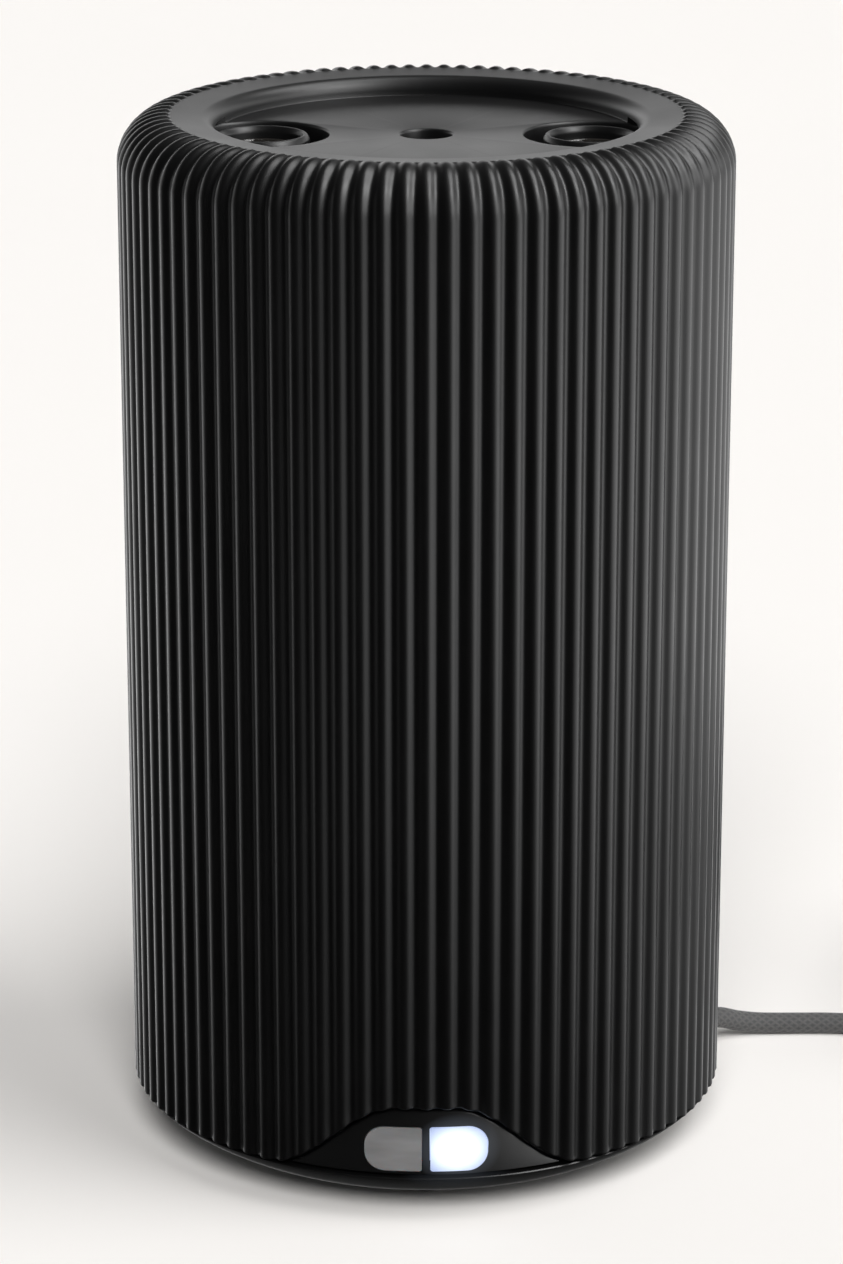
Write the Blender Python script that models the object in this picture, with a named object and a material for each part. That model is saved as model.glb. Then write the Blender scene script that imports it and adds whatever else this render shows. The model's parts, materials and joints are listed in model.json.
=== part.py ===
"""A tabletop fan diffuser: a ribbed cover that lifts off a low tapered base.

Two fans on the deck draw air up through the base, past two lift-out fragrance
vials, and out of two round ports in the dished top. Two lit push buttons sit
in a hill-shaped panel at the front (-Y). The braided lead leaves low at the
right of the back, and the rest of it is coiled beside the body, with its
wall adapter lying on the coil.
The origin is on the floor under the middle of the base, +Z is up.
"""

import math

import bmesh
import bpy
from mathutils import Matrix, Vector

MM = 0.001
GAP = 0.3 * MM  # between pieces that touch
FRONT = -math.pi / 2  # the angle of the front, measured from +X
AROUND = 20  # sides of a small turned piece
AROUND_LARGE = 40

# Cover
COVER_R = 50.0 * MM
COVER_INNER_R = 47.4 * MM
COVER_LOW = 8.2 * MM
COVER_TOP = 173.2 * MM
SHOULDER_R = 8.0 * MM
SHOULDER_STEPS = 3
RIB_COUNT = 90
RIB_DEPTH = 0.8 * MM
RIB_END_R = 41.8 * MM

# Hill-shaped opening at the front of the cover
HILL_HIGH = 11.9 * MM
HILL_FLAT = 5.0 * MM  # half width of the level top, along the curve
HILL_HALF = 27.0 * MM  # half width at the foot, along the curve
PANEL_GAP = 0.6 * MM

# Dish in the top of the cover
RING_TOP = 172.5 * MM
WELL_R = 36.0 * MM
PLATE_R = 33.2 * MM
PLATE_TOP = 169.4 * MM
PLATE_THICK = 1.8 * MM
PORT_X = 26.6 * MM
PORT_R = 10.9 * MM
CENTRE_HOLE_R = 4.2 * MM

# Base
BASE_LOW = 1.2 * MM
BASE_TOP = 7.9 * MM
BASE_FOOT_R = 38.3 * MM
BASE_RIM_R = 49.2 * MM
BASE_BULGE = 1.23  # 1 is a straight taper, 2 a quarter ellipse
WALL = 2.0 * MM
FOOT_PLACE_R = 32.0 * MM
FOOT_R = 5.0 * MM
SCREW_PLACE_R = 34.0 * MM
SCREW_ANGLES = (45, 135, 225, 315)
FOOT_ANGLES = (0, 90, 180, 270)
SLOT_COUNT = 10

# Deck and panel
DECK_LOW = 21.5 * MM
DECK_TOP = 23.5 * MM
DECK_R = 46.6 * MM
SKIRT_R = 45.6 * MM
SKIRT_INNER_R = 44.2 * MM
PANEL_R = 48.4 * MM
PANEL_INNER_R = 46.0 * MM

# Buttons
BUTTON_WIDE = 9.3 * MM
BUTTON_HIGH = 7.6 * MM
BUTTON_Z = 12.7 * MM
BUTTON_SPLIT = 1.4 * MM
BUTTON_CORNER = 3.3 * MM
BUTTON_SLIP = 0.12 * MM  # clearance in its window
BUTTON_TRAVEL = 0.8 * MM

# Fans
FAN_LOW = 23.8 * MM
FAN_TOP = 35.8 * MM
FAN_R = 19.0 * MM
FAN_BORE_R = 17.6 * MM
BLADE_COUNT = 7
SHAFT_R = 1.0 * MM

# Vial bays and vials
BAY_LOW = 36.1 * MM
BAY_TOP = 165.5 * MM
BAY_R = 16.0 * MM
BAY_INNER_R = 14.4 * MM
SEAT_Z = 106.2 * MM
VIAL_LOW = 110.0 * MM
VIAL_R = 10.2 * MM
VIAL_WALL = 1.1 * MM
NECK_R = 6.0 * MM
NECK_INNER_R = 5.0 * MM
NECK_TOP = 167.6 * MM
WICK_R = 3.0 * MM

# Lead
CORD_D = 3.7 * MM
CORD_FLOOR_Z = CORD_D / 2 + 0.05 * MM
EXIT_DEGREES = 28.0  # round from +X, towards the back
BOOT_Z = 4.7 * MM
BOOT_R = 2.7 * MM
BOOT_END_R = 56.0 * MM
COIL_CENTRE = (124.0 * MM, 44.0 * MM)
COIL_MEAN_R = 22.2 * MM
COIL_COLUMNS = 3
COIL_LAYERS = 4
COIL_LIFT = 0.1 * MM
ADAPTER_SIZE = (25.0 * MM, 40.0 * MM, 24.0 * MM)
ADAPTER_CORNER = 4.0 * MM

COLOURS = {  # name: (colour, roughness, metallic)
    "cover_black": ((0.012, 0.012, 0.013), 0.40, 0.0),
    "dish_black": ((0.018, 0.018, 0.019), 0.42, 0.0),
    "base_black": ((0.014, 0.014, 0.015), 0.45, 0.0),
    "panel_black": ((0.012, 0.012, 0.013), 0.35, 0.0),
    "button_dim": ((0.30, 0.30, 0.30), 0.35, 0.0),
    "button_lit": ((0.85, 0.93, 1.0), 0.30, 0.0),
    "frame_grey": ((0.10, 0.10, 0.11), 0.55, 0.0),
    "rotor_black": ((0.02, 0.02, 0.02), 0.40, 0.0),
    "copper": ((0.62, 0.30, 0.14), 0.35, 1.0),
    "steel": ((0.60, 0.60, 0.62), 0.30, 1.0),
    "bronze": ((0.50, 0.33, 0.14), 0.40, 1.0),
    "board_green": ((0.02, 0.12, 0.06), 0.45, 0.0),
    "chip_black": ((0.02, 0.02, 0.02), 0.50, 0.0),
    "lens_clear": ((0.90, 0.90, 0.85), 0.15, 0.0),
    "vial_glass": ((0.90, 0.92, 0.92), 0.05, 0.0),
    "oil_amber": ((0.80, 0.52, 0.18), 0.10, 0.0),
    "wick_fibre": ((0.05, 0.05, 0.05), 0.90, 0.0),
    "filter_foam": ((0.06, 0.06, 0.07), 0.95, 0.0),
    "foot_rubber": ((0.03, 0.03, 0.03), 0.85, 0.0),
    "wire_black": ((0.02, 0.02, 0.02), 0.55, 0.0),
    "cord_braid": ((0.05, 0.05, 0.052), 0.90, 0.0),
    "adapter_black": ((0.015, 0.015, 0.016), 0.40, 0.0),
}

SIDES = {"left": -1, "right": 1}


def clear_scene():
    for obj in list(bpy.data.objects):
        bpy.data.objects.remove(obj)


def material(name):
    found = bpy.data.materials.get(name)
    if found:
        return found
    colour, roughness, metallic = COLOURS[name]
    made = bpy.data.materials.new(name)
    made.use_nodes = True
    shader = made.node_tree.nodes["Principled BSDF"]
    shader.inputs["Base Color"].default_value = (*colour, 1.0)
    shader.inputs["Roughness"].default_value = roughness
    shader.inputs["Metallic"].default_value = metallic
    return made


def link(name, data, finish, location=(0, 0, 0)):
    obj = bpy.data.objects.new(name, data)
    obj.location = location
    data.materials.append(material(finish))
    bpy.context.scene.collection.objects.link(obj)
    return obj


def from_bmesh(name, bm, finish, location=(0, 0, 0)):
    bmesh.ops.remove_doubles(bm, verts=bm.verts, dist=1e-7)
    bmesh.ops.recalc_face_normals(bm, faces=bm.faces)
    mesh = bpy.data.meshes.new(name)
    bm.to_mesh(mesh)
    bm.free()
    mesh.shade_smooth()
    mesh.set_sharp_from_angle(angle=math.radians(35))
    return link(name, mesh, finish, location)


def arc(centre, radius, start, end, steps):
    """Points on an arc, angles in degrees."""
    points = []
    for i in range(steps + 1):
        a = math.radians(start + (end - start) * i / steps)
        points.append((centre[0] + radius * math.cos(a), centre[1] + radius * math.sin(a)))
    return points


def turned(name, outline, finish, location=(0, 0, 0), around=AROUND):
    """A solid turned about Z from an outline of (radius, height) points."""
    bm = bmesh.new()
    verts = [bm.verts.new((r, 0, z)) for r, z in outline]
    edges = []
    for a, b in zip(verts, verts[1:] + verts[:1]):
        if a.co.x > 0 or b.co.x > 0:
            edges.append(bm.edges.new((a, b)))
    bmesh.ops.spin(
        bm,
        geom=verts + edges,
        cent=(0, 0, 0),
        axis=(0, 0, 1),
        angle=2 * math.pi,
        steps=around,
        use_merge=True,
    )
    bmesh.ops.remove_doubles(bm, verts=bm.verts, dist=1e-7)
    return from_bmesh(name, bm, finish, location)


def tube(name, inner, outer, low, high, finish, location=(0, 0, 0), around=AROUND):
    outline = [(inner, low), (outer, low), (outer, high), (inner, high)]
    return turned(name, outline, finish, location, around)


def disc(name, radius, low, high, finish, location=(0, 0, 0), around=AROUND):
    outline = [(0, low), (radius, low), (radius, high), (0, high)]
    return turned(name, outline, finish, location, around)


def block(name, low, high, finish):
    """A box between two corners."""
    bm = bmesh.new()
    bmesh.ops.create_cube(bm, size=1.0)
    low, high = Vector(low), Vector(high)
    stretch = Matrix.Diagonal((*(high - low), 1.0))
    bmesh.ops.transform(bm, matrix=Matrix.Translation((low + high) / 2) @ stretch, verts=bm.verts)
    return from_bmesh(name, bm, finish)


def prism(name, outline, low, high, finish, along="Z"):
    """An outline in the XY plane extruded along Z, or one in the XZ plane along Y."""
    bm = bmesh.new()
    if along == "Z":
        points, travel = [(x, y, low) for x, y in outline], (0, 0, high - low)
    else:
        points, travel = [(x, low, z) for x, z in outline], (0, high - low, 0)
    face = bm.faces.new([bm.verts.new(p) for p in points])
    grown = bmesh.ops.extrude_face_region(bm, geom=[face])
    moved = [v for v in grown["geom"] if isinstance(v, bmesh.types.BMVert)]
    bmesh.ops.translate(bm, verts=moved, vec=travel)
    return from_bmesh(name, bm, finish)


def boolean(target, tools, operation="DIFFERENCE", solver="EXACT"):
    """Cuts the tools from the target, or joins them to it, and removes them."""
    for tool in tools:
        modifier = target.modifiers.new(operation.lower(), "BOOLEAN")
        modifier.operation = operation
        modifier.solver = solver
        modifier.object = tool
        graph = bpy.context.evaluated_depsgraph_get()
        mesh = bpy.data.meshes.new_from_object(target.evaluated_get(graph))
        target.modifiers.remove(modifier)
        target.data = mesh
        bpy.data.objects.remove(tool)
    target.data.set_sharp_from_angle(angle=math.radians(35))
    return target


def in_mm(points):
    return [tuple(c * MM for c in point) for point in points]


def polar(radius, degrees, z=0.0):
    a = math.radians(degrees)
    return (radius * math.cos(a), radius * math.sin(a), z)


def upright(bm, angle, column):
    """New points of (radius, height) standing at an angle."""
    return [bm.verts.new((r * math.cos(angle), r * math.sin(angle), z)) for r, z in column]


def smooth_step(t):
    t = min(1.0, max(0.0, t))
    return t * t * (3 - 2 * t)


def hill(angle):
    """How far the front opening rises above the cover's lower edge at an angle."""
    turn = (angle - FRONT + math.pi) % (2 * math.pi) - math.pi
    along = abs(turn) * COVER_R
    return HILL_HIGH * smooth_step((HILL_HALF - along) / (HILL_HALF - HILL_FLAT))


# ---------------------------------------------------------------- cover


def cover_profile():
    """(radius, height, rib share) up the outside of the cover at a rib's crest."""
    centre = (COVER_R - SHOULDER_R, COVER_TOP - SHOULDER_R)
    shoulder = arc(centre, SHOULDER_R, 0, 90, SHOULDER_STEPS)
    outside = [(r, z, 1.0) for r, z in shoulder]
    nose_r = RIB_END_R - 0.6 * MM
    return outside + [(nose_r, COVER_TOP - 0.35 * MM, 0.0), (nose_r, RING_TOP - 0.8 * MM, 0.0)]


def make_cover():
    profile = cover_profile()
    centre = (COVER_R - SHOULDER_R, COVER_TOP - SHOULDER_R)
    inner_radius = COVER_INNER_R - centre[0]
    inner = [(RIB_END_R - 0.6 * MM, centre[1] + inner_radius)] + arc(centre, inner_radius, 90, 0, 1)
    bm = bmesh.new()
    columns = []
    for i in range(2 * RIB_COUNT):
        angle = FRONT + math.pi * i / RIB_COUNT
        depth = RIB_DEPTH * (i % 2)
        low = COVER_LOW + hill(angle)
        column = [(COVER_INNER_R, low), (COVER_R - depth, low)]
        for r, z, share in profile:
            outward = Vector((r - centre[0], z - centre[1])).normalized()
            column.append((r - outward.x * depth * share, z - outward.y * depth * share))
        columns.append(upright(bm, angle, column + inner))
    for here, there in zip(columns, columns[1:] + columns[:1]):
        for k in range(len(here)):
            above = (k + 1) % len(here)
            bm.faces.new((here[k], there[k], there[above], here[above]))
    return from_bmesh("outer_cover", bm, "cover_black")


def make_dish():
    """Smooth ring, well and port plate, clipped in under the ribbed shoulder."""
    ring_r = RIB_END_R - 0.9 * MM
    flange_r = ring_r + 1.9 * MM
    flange_top = COVER_TOP - SHOULDER_R + (COVER_INNER_R - COVER_R + SHOULDER_R) - 0.9 * MM
    under = PLATE_TOP - PLATE_THICK
    corner = RING_TOP - PLATE_TOP
    outline = [
        (0, under),
        (PLATE_R - 1.0 * MM, under),
        (WELL_R + 1.4 * MM, under + 0.4 * MM),
        (flange_r, under + 0.4 * MM),
        (flange_r, flange_top),
        (ring_r, flange_top),
        (ring_r, RING_TOP),
        (WELL_R, RING_TOP),
        (WELL_R - 0.30 * corner, RING_TOP - 0.12 * corner),
        (WELL_R - 0.55 * corner, RING_TOP - 0.45 * corner),
        (PLATE_R + 0.25 * corner, PLATE_TOP + 0.12 * corner),
        (PLATE_R, PLATE_TOP),
        (0, PLATE_TOP),
    ]
    dish = turned("top_dish", outline, "dish_black", around=AROUND_LARGE)
    joined = []
    for x, radius, deep in ((-PORT_X, PORT_R, 1.4), (PORT_X, PORT_R, 1.4), (0, CENTRE_HOLE_R, 3.6)):
        low = under - deep * MM
        inner, outer = radius - 1.0 * MM, radius + 1.3 * MM
        joined.append(tube("collar", inner, outer, low, under + 0.5 * MM, "dish_black", (x, 0, 0)))
    boolean(dish, joined, "UNION", "MANIFOLD")
    cutters = [
        disc("port_cut", PORT_R, under - 3 * MM, PLATE_TOP + 1 * MM, "dish_black", (sign * PORT_X, 0, 0))
        for sign in SIDES.values()
    ]
    cutters.append(disc("hole_cut", CENTRE_HOLE_R, under - 5 * MM, PLATE_TOP + 1 * MM, "dish_black"))
    return boolean(dish, cutters, solver="MANIFOLD")


# ---------------------------------------------------------------- base


def base_taper(steps):
    """The base's side, from its foot up to its rim."""
    points = []
    for i in range(steps + 1):
        a = math.pi / 2 * (1 - i / steps)
        out = (BASE_RIM_R - BASE_FOOT_R) * math.cos(a) ** (2 / BASE_BULGE)
        down = (BASE_TOP - BASE_LOW) * math.sin(a) ** (2 / BASE_BULGE)
        points.append((BASE_FOOT_R + out, BASE_TOP - down))
    return points


def make_base():
    floor_top = BASE_LOW + 2.2 * MM
    side = base_taper(3)
    inside = [(BASE_RIM_R - WALL, BASE_TOP), (BASE_RIM_R - 1.6 * WALL, BASE_TOP - 1.6 * MM)]
    inside += [(BASE_FOOT_R + 1.0 * MM, floor_top), (0, floor_top)]
    tray = turned("base_tray", [(0, BASE_LOW)] + side + inside, "base_black", around=AROUND_LARGE)
    bosses = []
    for a in SCREW_ANGLES:
        low, high = floor_top - 0.5 * MM, floor_top + 2.6 * MM
        bosses.append(disc("boss", 5.0 * MM, low, high, "base_black", polar(SCREW_PLACE_R, a), 12))
    boolean(tray, bosses, "UNION", "MANIFOLD")
    cutters = []
    for a in SCREW_ANGLES:
        place = polar(SCREW_PLACE_R, a)
        cutters.append(disc("head_cut", 3.1 * MM, BASE_LOW - 1 * MM, 4.4 * MM, "base_black", place, 12))
        cutters.append(disc("shank_cut", 1.8 * MM, 4.0 * MM, 8.0 * MM, "base_black", place, 12))
    for a in FOOT_ANGLES:
        place = polar(FOOT_PLACE_R, a)
        pocket_r = FOOT_R + 2 * GAP
        cutters.append(disc("foot_cut", pocket_r, BASE_LOW - 1 * MM, 1.9 * MM, "base_black", place, 16))
    for i in range(SLOT_COUNT):
        slot = block("slot", (11 * MM, -1.4 * MM, 0), (25.5 * MM, 1.4 * MM, 5 * MM), "base_black")
        slot.rotation_euler.z = 2 * math.pi * i / SLOT_COUNT
        cutters.append(slot)
    notch_r = BOOT_R + GAP
    over = BASE_TOP + 1 * MM
    notch = [(-notch_r, over)] + arc((0, BOOT_Z), notch_r, 180, 360, 8) + [(notch_r, over)]
    cutters.append(facing_exit(prism("notch", notch, 38.7 * MM, 52 * MM, "base_black", along="Y")))
    return boolean(tray, cutters, solver="MANIFOLD")


def make_feet():
    for i, a in enumerate(FOOT_ANGLES, 1):
        outline = [(0, 0), (FOOT_R - 0.4 * MM, 0), (FOOT_R, 0.4 * MM), (FOOT_R, 1.6 * MM), (0, 1.6 * MM)]
        turned(f"foot_{i}", outline, "foot_rubber", polar(FOOT_PLACE_R, a), 16)


def make_screws():
    for i, a in enumerate(SCREW_ANGLES, 1):
        outline = [(0, 2.4), (2.8, 2.4), (2.8, 4.1), (1.4, 4.1), (1.4, 14), (0, 15)]
        place = polar(SCREW_PLACE_R, a)
        screw = turned(f"base_screw_{i}", in_mm(outline), "steel", place, 12)
        bars = [
            block("drive", (-w, -d, 2.0 * MM), (w, d, 3.2 * MM), "steel")
            for w, d in ((1.5 * MM, 0.35 * MM), (0.35 * MM, 1.5 * MM))
        ]
        for bar in bars:
            bar.location = place
        boolean(screw, bars)


def make_filter():
    low = BASE_LOW + 2.2 * MM + GAP
    tube("intake_filter", 5.0 * MM, 27.0 * MM, low, low + 3.0 * MM, "filter_foam")


def make_deck():
    """Deck plate with a skirt down to the base, screw bosses and board posts."""
    skirt_low = BASE_TOP + GAP
    outline = [
        (0, DECK_LOW),
        (SKIRT_INNER_R, DECK_LOW),
        (SKIRT_INNER_R, skirt_low),
        (SKIRT_R, skirt_low),
        (SKIRT_R, DECK_LOW),
        (DECK_R, DECK_LOW),
        (DECK_R, DECK_TOP),
        (0, DECK_TOP),
    ]
    deck = turned("deck", outline, "frame_grey", around=AROUND_LARGE)
    joined = []
    for a in SCREW_ANGLES:
        place = polar(SCREW_PLACE_R, a)
        joined.append(disc("boss", 3.5 * MM, 6.3 * MM, DECK_LOW + 1 * MM, "frame_grey", place, 12))
    for sign in SIDES.values():
        low = (sign * 18 * MM - 3 * MM, 20.0 * MM, DECK_TOP - 1 * MM)
        high = (sign * 18 * MM + 3 * MM, 24.0 * MM, 49 * MM)
        joined.append(block("post", low, high, "frame_grey"))
    boolean(deck, joined, "UNION", "MANIFOLD")
    cutters = []
    for a in SCREW_ANGLES:
        place = polar(SCREW_PLACE_R, a)
        cutters.append(disc("pilot", 1.7 * MM, 5 * MM, 16 * MM, "frame_grey", place, 12))
    for sign in SIDES.values():
        place = (sign * PORT_X, 0, 0)
        cutters.append(disc("duct", 17.0 * MM, 20 * MM, 25 * MM, "frame_grey", place))
    cutters.append(block("window", *in_mm([(-13.5, -50, 5), (13.5, -30, 20.2)]), "frame_grey"))
    cutters.append(block("cable_way", *in_mm([(-5, 26, 20), (5, 31, 25)]), "frame_grey"))
    return boolean(deck, cutters, solver="MANIFOLD")


def button_outline(side, grow):
    """One half of the split pill: a straight inner edge and round outer corners."""
    inner = BUTTON_SPLIT / 2 - grow
    outer = BUTTON_SPLIT / 2 + BUTTON_WIDE + grow
    high = BUTTON_HIGH / 2 + grow
    corner = BUTTON_CORNER + grow
    points = [(inner, -high)]
    points += arc((outer - corner, -high + corner), corner, -90, 0, 6)
    points += arc((outer - corner, high - corner), corner, 0, 90, 6)
    points += [(inner, high)]
    return [(SIDES[side] * x, BUTTON_Z + z) for x, z in points]


def make_panel():
    """The curved panel that fills the hill-shaped opening."""
    bm = bmesh.new()
    columns = []
    half_steps = 15
    half_angle = (HILL_HALF - 3.8 * MM) / COVER_R
    low = COVER_LOW
    for i in range(-half_steps, half_steps + 1):
        angle = FRONT + half_angle * i / half_steps
        high = COVER_LOW + hill(angle) - PANEL_GAP
        column = [(PANEL_INNER_R, low), (PANEL_R, low), (PANEL_R, high), (PANEL_INNER_R, high)]
        columns.append(upright(bm, angle, column))
    for here, there in zip(columns, columns[1:]):
        for k in range(4):
            bm.faces.new((here[k], there[k], there[(k + 1) % 4], here[(k + 1) % 4]))
    bm.faces.new(columns[0])
    bm.faces.new(columns[-1])
    panel = from_bmesh("front_panel", bm, "panel_black")
    windows = []
    for side in SIDES:
        outline = button_outline(side, BUTTON_SLIP)
        windows.append(prism("window", outline, -52 * MM, -40 * MM, "panel_black", along="Y"))
    return boolean(panel, windows)


def make_buttons():
    """Two translucent keys with a flange behind the panel that keeps them in."""
    for side, finish in (("left", "button_dim"), ("right", "button_lit")):
        outline = button_outline(side, 0)
        key = prism(f"button_{side}", outline, -52 * MM, -43.4 * MM, finish, along="Y")
        face = disc("face", PANEL_R + 0.15 * MM, 5 * MM, 22 * MM, finish, around=120)
        boolean(key, [face], "INTERSECT")
        sign = SIDES[side]
        outer = BUTTON_SPLIT / 2 + BUTTON_WIDE + 0.9 * MM
        x_low, x_high = sorted((sign * 0.45 * MM, sign * outer))
        z_low = BUTTON_Z - BUTTON_HIGH / 2 - 0.1 * MM
        z_high = BUTTON_Z + BUTTON_HIGH / 2 + 0.6 * MM
        flange = block("flange", (x_low, -43.9 * MM, z_low), (x_high, -42.6 * MM, z_high), finish)
        boolean(key, [flange], "UNION")
        middle = Vector((sign * (BUTTON_SPLIT + BUTTON_WIDE) / 2, -PANEL_INNER_R, BUTTON_Z))
        key.data.transform(Matrix.Translation(-middle))
        key.location = middle


def make_panel_board():
    """Board behind the keys, with one tact switch and one lamp for each."""
    front = -38.6 * MM
    low, high = (-12 * MM, front, 8.6 * MM), (12 * MM, front + 1.2 * MM, 19 * MM)
    board = block("panel_board", low, high, "board_green")
    clips = []
    for sign in SIDES.values():
        x = sign * 10.5 * MM
        low, high = (x - 1 * MM, front + 1 * MM, 17 * MM), (x + 1 * MM, -35 * MM, 19 * MM)
        clips.append(block("clip", low, high, "board_green"))
    boolean(board, clips, "UNION")
    plunger_front = -42.6 * MM + BUTTON_TRAVEL + 0.1 * MM
    for side, sign in SIDES.items():
        x = sign * 7.6 * MM
        low = (x - 2.2 * MM, -40.9 * MM, 10.6 * MM)
        switch = block(f"switch_{side}", low, (x + 2.2 * MM, front - GAP, 15.0 * MM), "chip_black")
        stem = disc("stem", 1.1 * MM, 0, 1.6 * MM, "chip_black", around=20)
        stem.rotation_euler.x = math.pi / 2
        stem.location = (x, plunger_front + 1.6 * MM, 12.8 * MM)
        boolean(switch, [stem], "UNION")
        x = sign * 3.0 * MM
        low = (x - 1.2 * MM, -39.9 * MM, 11.4 * MM)
        block(f"lamp_{side}", low, (x + 1.2 * MM, front - GAP, 14.2 * MM), "lens_clear")


# ---------------------------------------------------------------- fans


def make_fan(side):
    """Frame with a motor tube, bush, coil pack and a bladed rotor on a shaft."""
    place = (SIDES[side] * PORT_X, 0, 0)
    frame = tube(f"fan_frame_{side}", FAN_BORE_R, FAN_R, FAN_LOW, FAN_TOP, "frame_grey", place, 32)
    spokes = []
    for i in range(3):
        low, high = (2.8 * MM, -0.9 * MM, FAN_LOW), (18.2 * MM, 0.9 * MM, FAN_LOW + 1.6 * MM)
        spoke = block("spoke", low, high, "frame_grey")
        spoke.rotation_euler.z = math.radians(120 * i + 30)
        spoke.location = place
        spokes.append(spoke)
    hub = [(0, 23.8), (7.4, 23.8), (7.4, 25.4), (3.1, 25.4)]
    hub += [(3.1, 32.6), (2.3, 32.6), (2.3, 25.2), (0, 25.2)]
    boolean(frame, [turned("hub", in_mm(hub), "frame_grey", place)] + spokes, "UNION")
    tube(f"fan_bush_{side}", SHAFT_R + 0.08 * MM, 2.0 * MM, 25.6 * MM, 32.2 * MM, "bronze", place, 16)
    coil = tube(f"fan_coil_{side}", 3.4 * MM, 6.6 * MM, 26.2 * MM, 31.6 * MM, "copper", place)
    slots = []
    for i in range(4):
        slot = block("slot", (4.6 * MM, -0.6 * MM, 25 * MM), (8 * MM, 0.6 * MM, 33 * MM), "copper")
        slot.rotation_euler.z = math.radians(90 * i + 45)
        slot.location = place
        slots.append(slot)
    boolean(coil, slots)
    make_rotor(side, place)


def blade():
    """One fan blade: a thin strip twisted from the hub out to the tip."""
    bm = bmesh.new()
    steps = 2
    thick = 0.55 * MM
    rings = []
    for i in range(steps + 1):
        t = i / steps
        radius = (8.0 + 8.8 * t) * MM
        pitch = math.radians(48 - 20 * t)
        chord = (7.0 + 2.2 * t) * MM
        across = Vector((0, math.cos(pitch), math.sin(pitch)))
        normal = Vector((0, -math.sin(pitch), math.cos(pitch)))
        centre = Vector((radius, 0, 30.8 * MM))
        ring = []
        for u, v in ((-0.5, 0), (-0.2, -thick), (0.2, -thick), (0.5, 0), (0.2, thick), (-0.2, thick)):
            ring.append(bm.verts.new(centre + across * chord * u + normal * v))
        rings.append(ring)
    for here, there in zip(rings, rings[1:]):
        for k in range(6):
            bm.faces.new((here[k], there[k], there[(k + 1) % 6], here[(k + 1) % 6]))
    bm.faces.new(rings[0])
    bm.faces.new(rings[-1])
    return from_bmesh("blade", bm, "rotor_black")


def make_rotor(side, place):
    cup = [(0, 33.4), (7.2, 33.4), (7.2, 27.0), (8.4, 27.0), (8.4, 34.0), (7.8, 34.8), (0, 34.8)]
    rotor = turned(f"fan_rotor_{side}", in_mm(cup), "rotor_black", place)
    shaft = disc("shaft", SHAFT_R, 25.5 * MM, 34.0 * MM, "rotor_black", place, 12)
    parts = [shaft]
    for i in range(BLADE_COUNT):
        piece = blade()
        piece.rotation_euler.z = 2 * math.pi * i / BLADE_COUNT
        piece.location = place
        parts.append(piece)
    return boolean(rotor, parts, "UNION", "MANIFOLD")


# ---------------------------------------------------------------- bays and vials


def make_bay(side):
    """Air tube over a fan, with spokes for the warmer and fins that centre the vial."""
    place = (SIDES[side] * PORT_X, 0, 0)
    outline = [
        (FAN_R - 1.6 * MM, BAY_LOW),
        (FAN_R, BAY_LOW),
        (FAN_R, BAY_LOW + 1.8 * MM),
        (BAY_R, BAY_LOW + 7.0 * MM),
        (BAY_R, BAY_TOP),
        (BAY_INNER_R, BAY_TOP),
        (BAY_INNER_R, BAY_LOW + 7.0 * MM),
        (FAN_R - 1.6 * MM, BAY_LOW + 1.8 * MM),
    ]
    bay = turned(f"bay_{side}", outline, "frame_grey", place)
    parts = [tube("seat", 5.5 * MM, 9.6 * MM, SEAT_Z - 3.2 * MM, SEAT_Z, "frame_grey", place)]
    out = 15.0 * MM
    for i in range(3):
        turn = math.radians(120 * i + 90)
        low, high = (8.8 * MM, -0.9 * MM, SEAT_Z - 3.0 * MM), (out, 0.9 * MM, SEAT_Z - 0.2 * MM)
        spoke = block("spoke", low, high, "frame_grey")
        low, high = (10.6 * MM, -0.7 * MM, VIAL_LOW + 2 * MM), (out, 0.7 * MM, 154 * MM)
        fin = block("fin", low, high, "frame_grey")
        for piece in (spoke, fin):
            piece.rotation_euler.z = turn
            piece.location = place
        parts += [spoke, fin]
    return boolean(bay, parts, "UNION")


def make_warmer(side):
    place = (SIDES[side] * PORT_X, 0, 0)
    low = SEAT_Z + GAP
    disc(f"warmer_{side}", 8.6 * MM, low, low + 3.1 * MM, "steel", place)


def make_vial(side):
    """Glass vial with oil, a wick and the collar that shows in the port."""
    place = (SIDES[side] * PORT_X, 0, 0)
    inner = VIAL_R - VIAL_WALL
    neck_low = 164.0 * MM
    glass = [(0, VIAL_LOW), (VIAL_R - 1 * MM, VIAL_LOW), (VIAL_R, VIAL_LOW + 1 * MM)]
    glass += [(VIAL_R, 159 * MM), (VIAL_R - 1.2 * MM, 161.8 * MM), (NECK_R, neck_low)]
    glass += [(NECK_R, NECK_TOP), (NECK_INNER_R, NECK_TOP)]
    glass += [(NECK_INNER_R, 163.2 * MM), (inner - 1.2 * MM, 161.0 * MM), (inner, 158.5 * MM)]
    glass += [(inner, VIAL_LOW + 1.8 * MM), (0, VIAL_LOW + 1.4 * MM)]
    turned(f"vial_{side}", glass, "vial_glass", place)
    collar = [(6.3, 164.9), (7.8, 164.9), (7.8, 168.6), (7.3, 169.4), (6.8, 169.4), (6.3, 168.6)]
    turned(f"vial_collar_{side}", in_mm(collar), "dish_black", place)
    disc(f"wick_{side}", WICK_R, VIAL_LOW + 2.4 * MM, 161.5 * MM, "wick_fibre", place, 16)
    tube(f"oil_{side}", WICK_R + GAP, inner - GAP, VIAL_LOW + 2.4 * MM, 140 * MM, "oil_amber", place)


# ---------------------------------------------------------------- electronics


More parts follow.
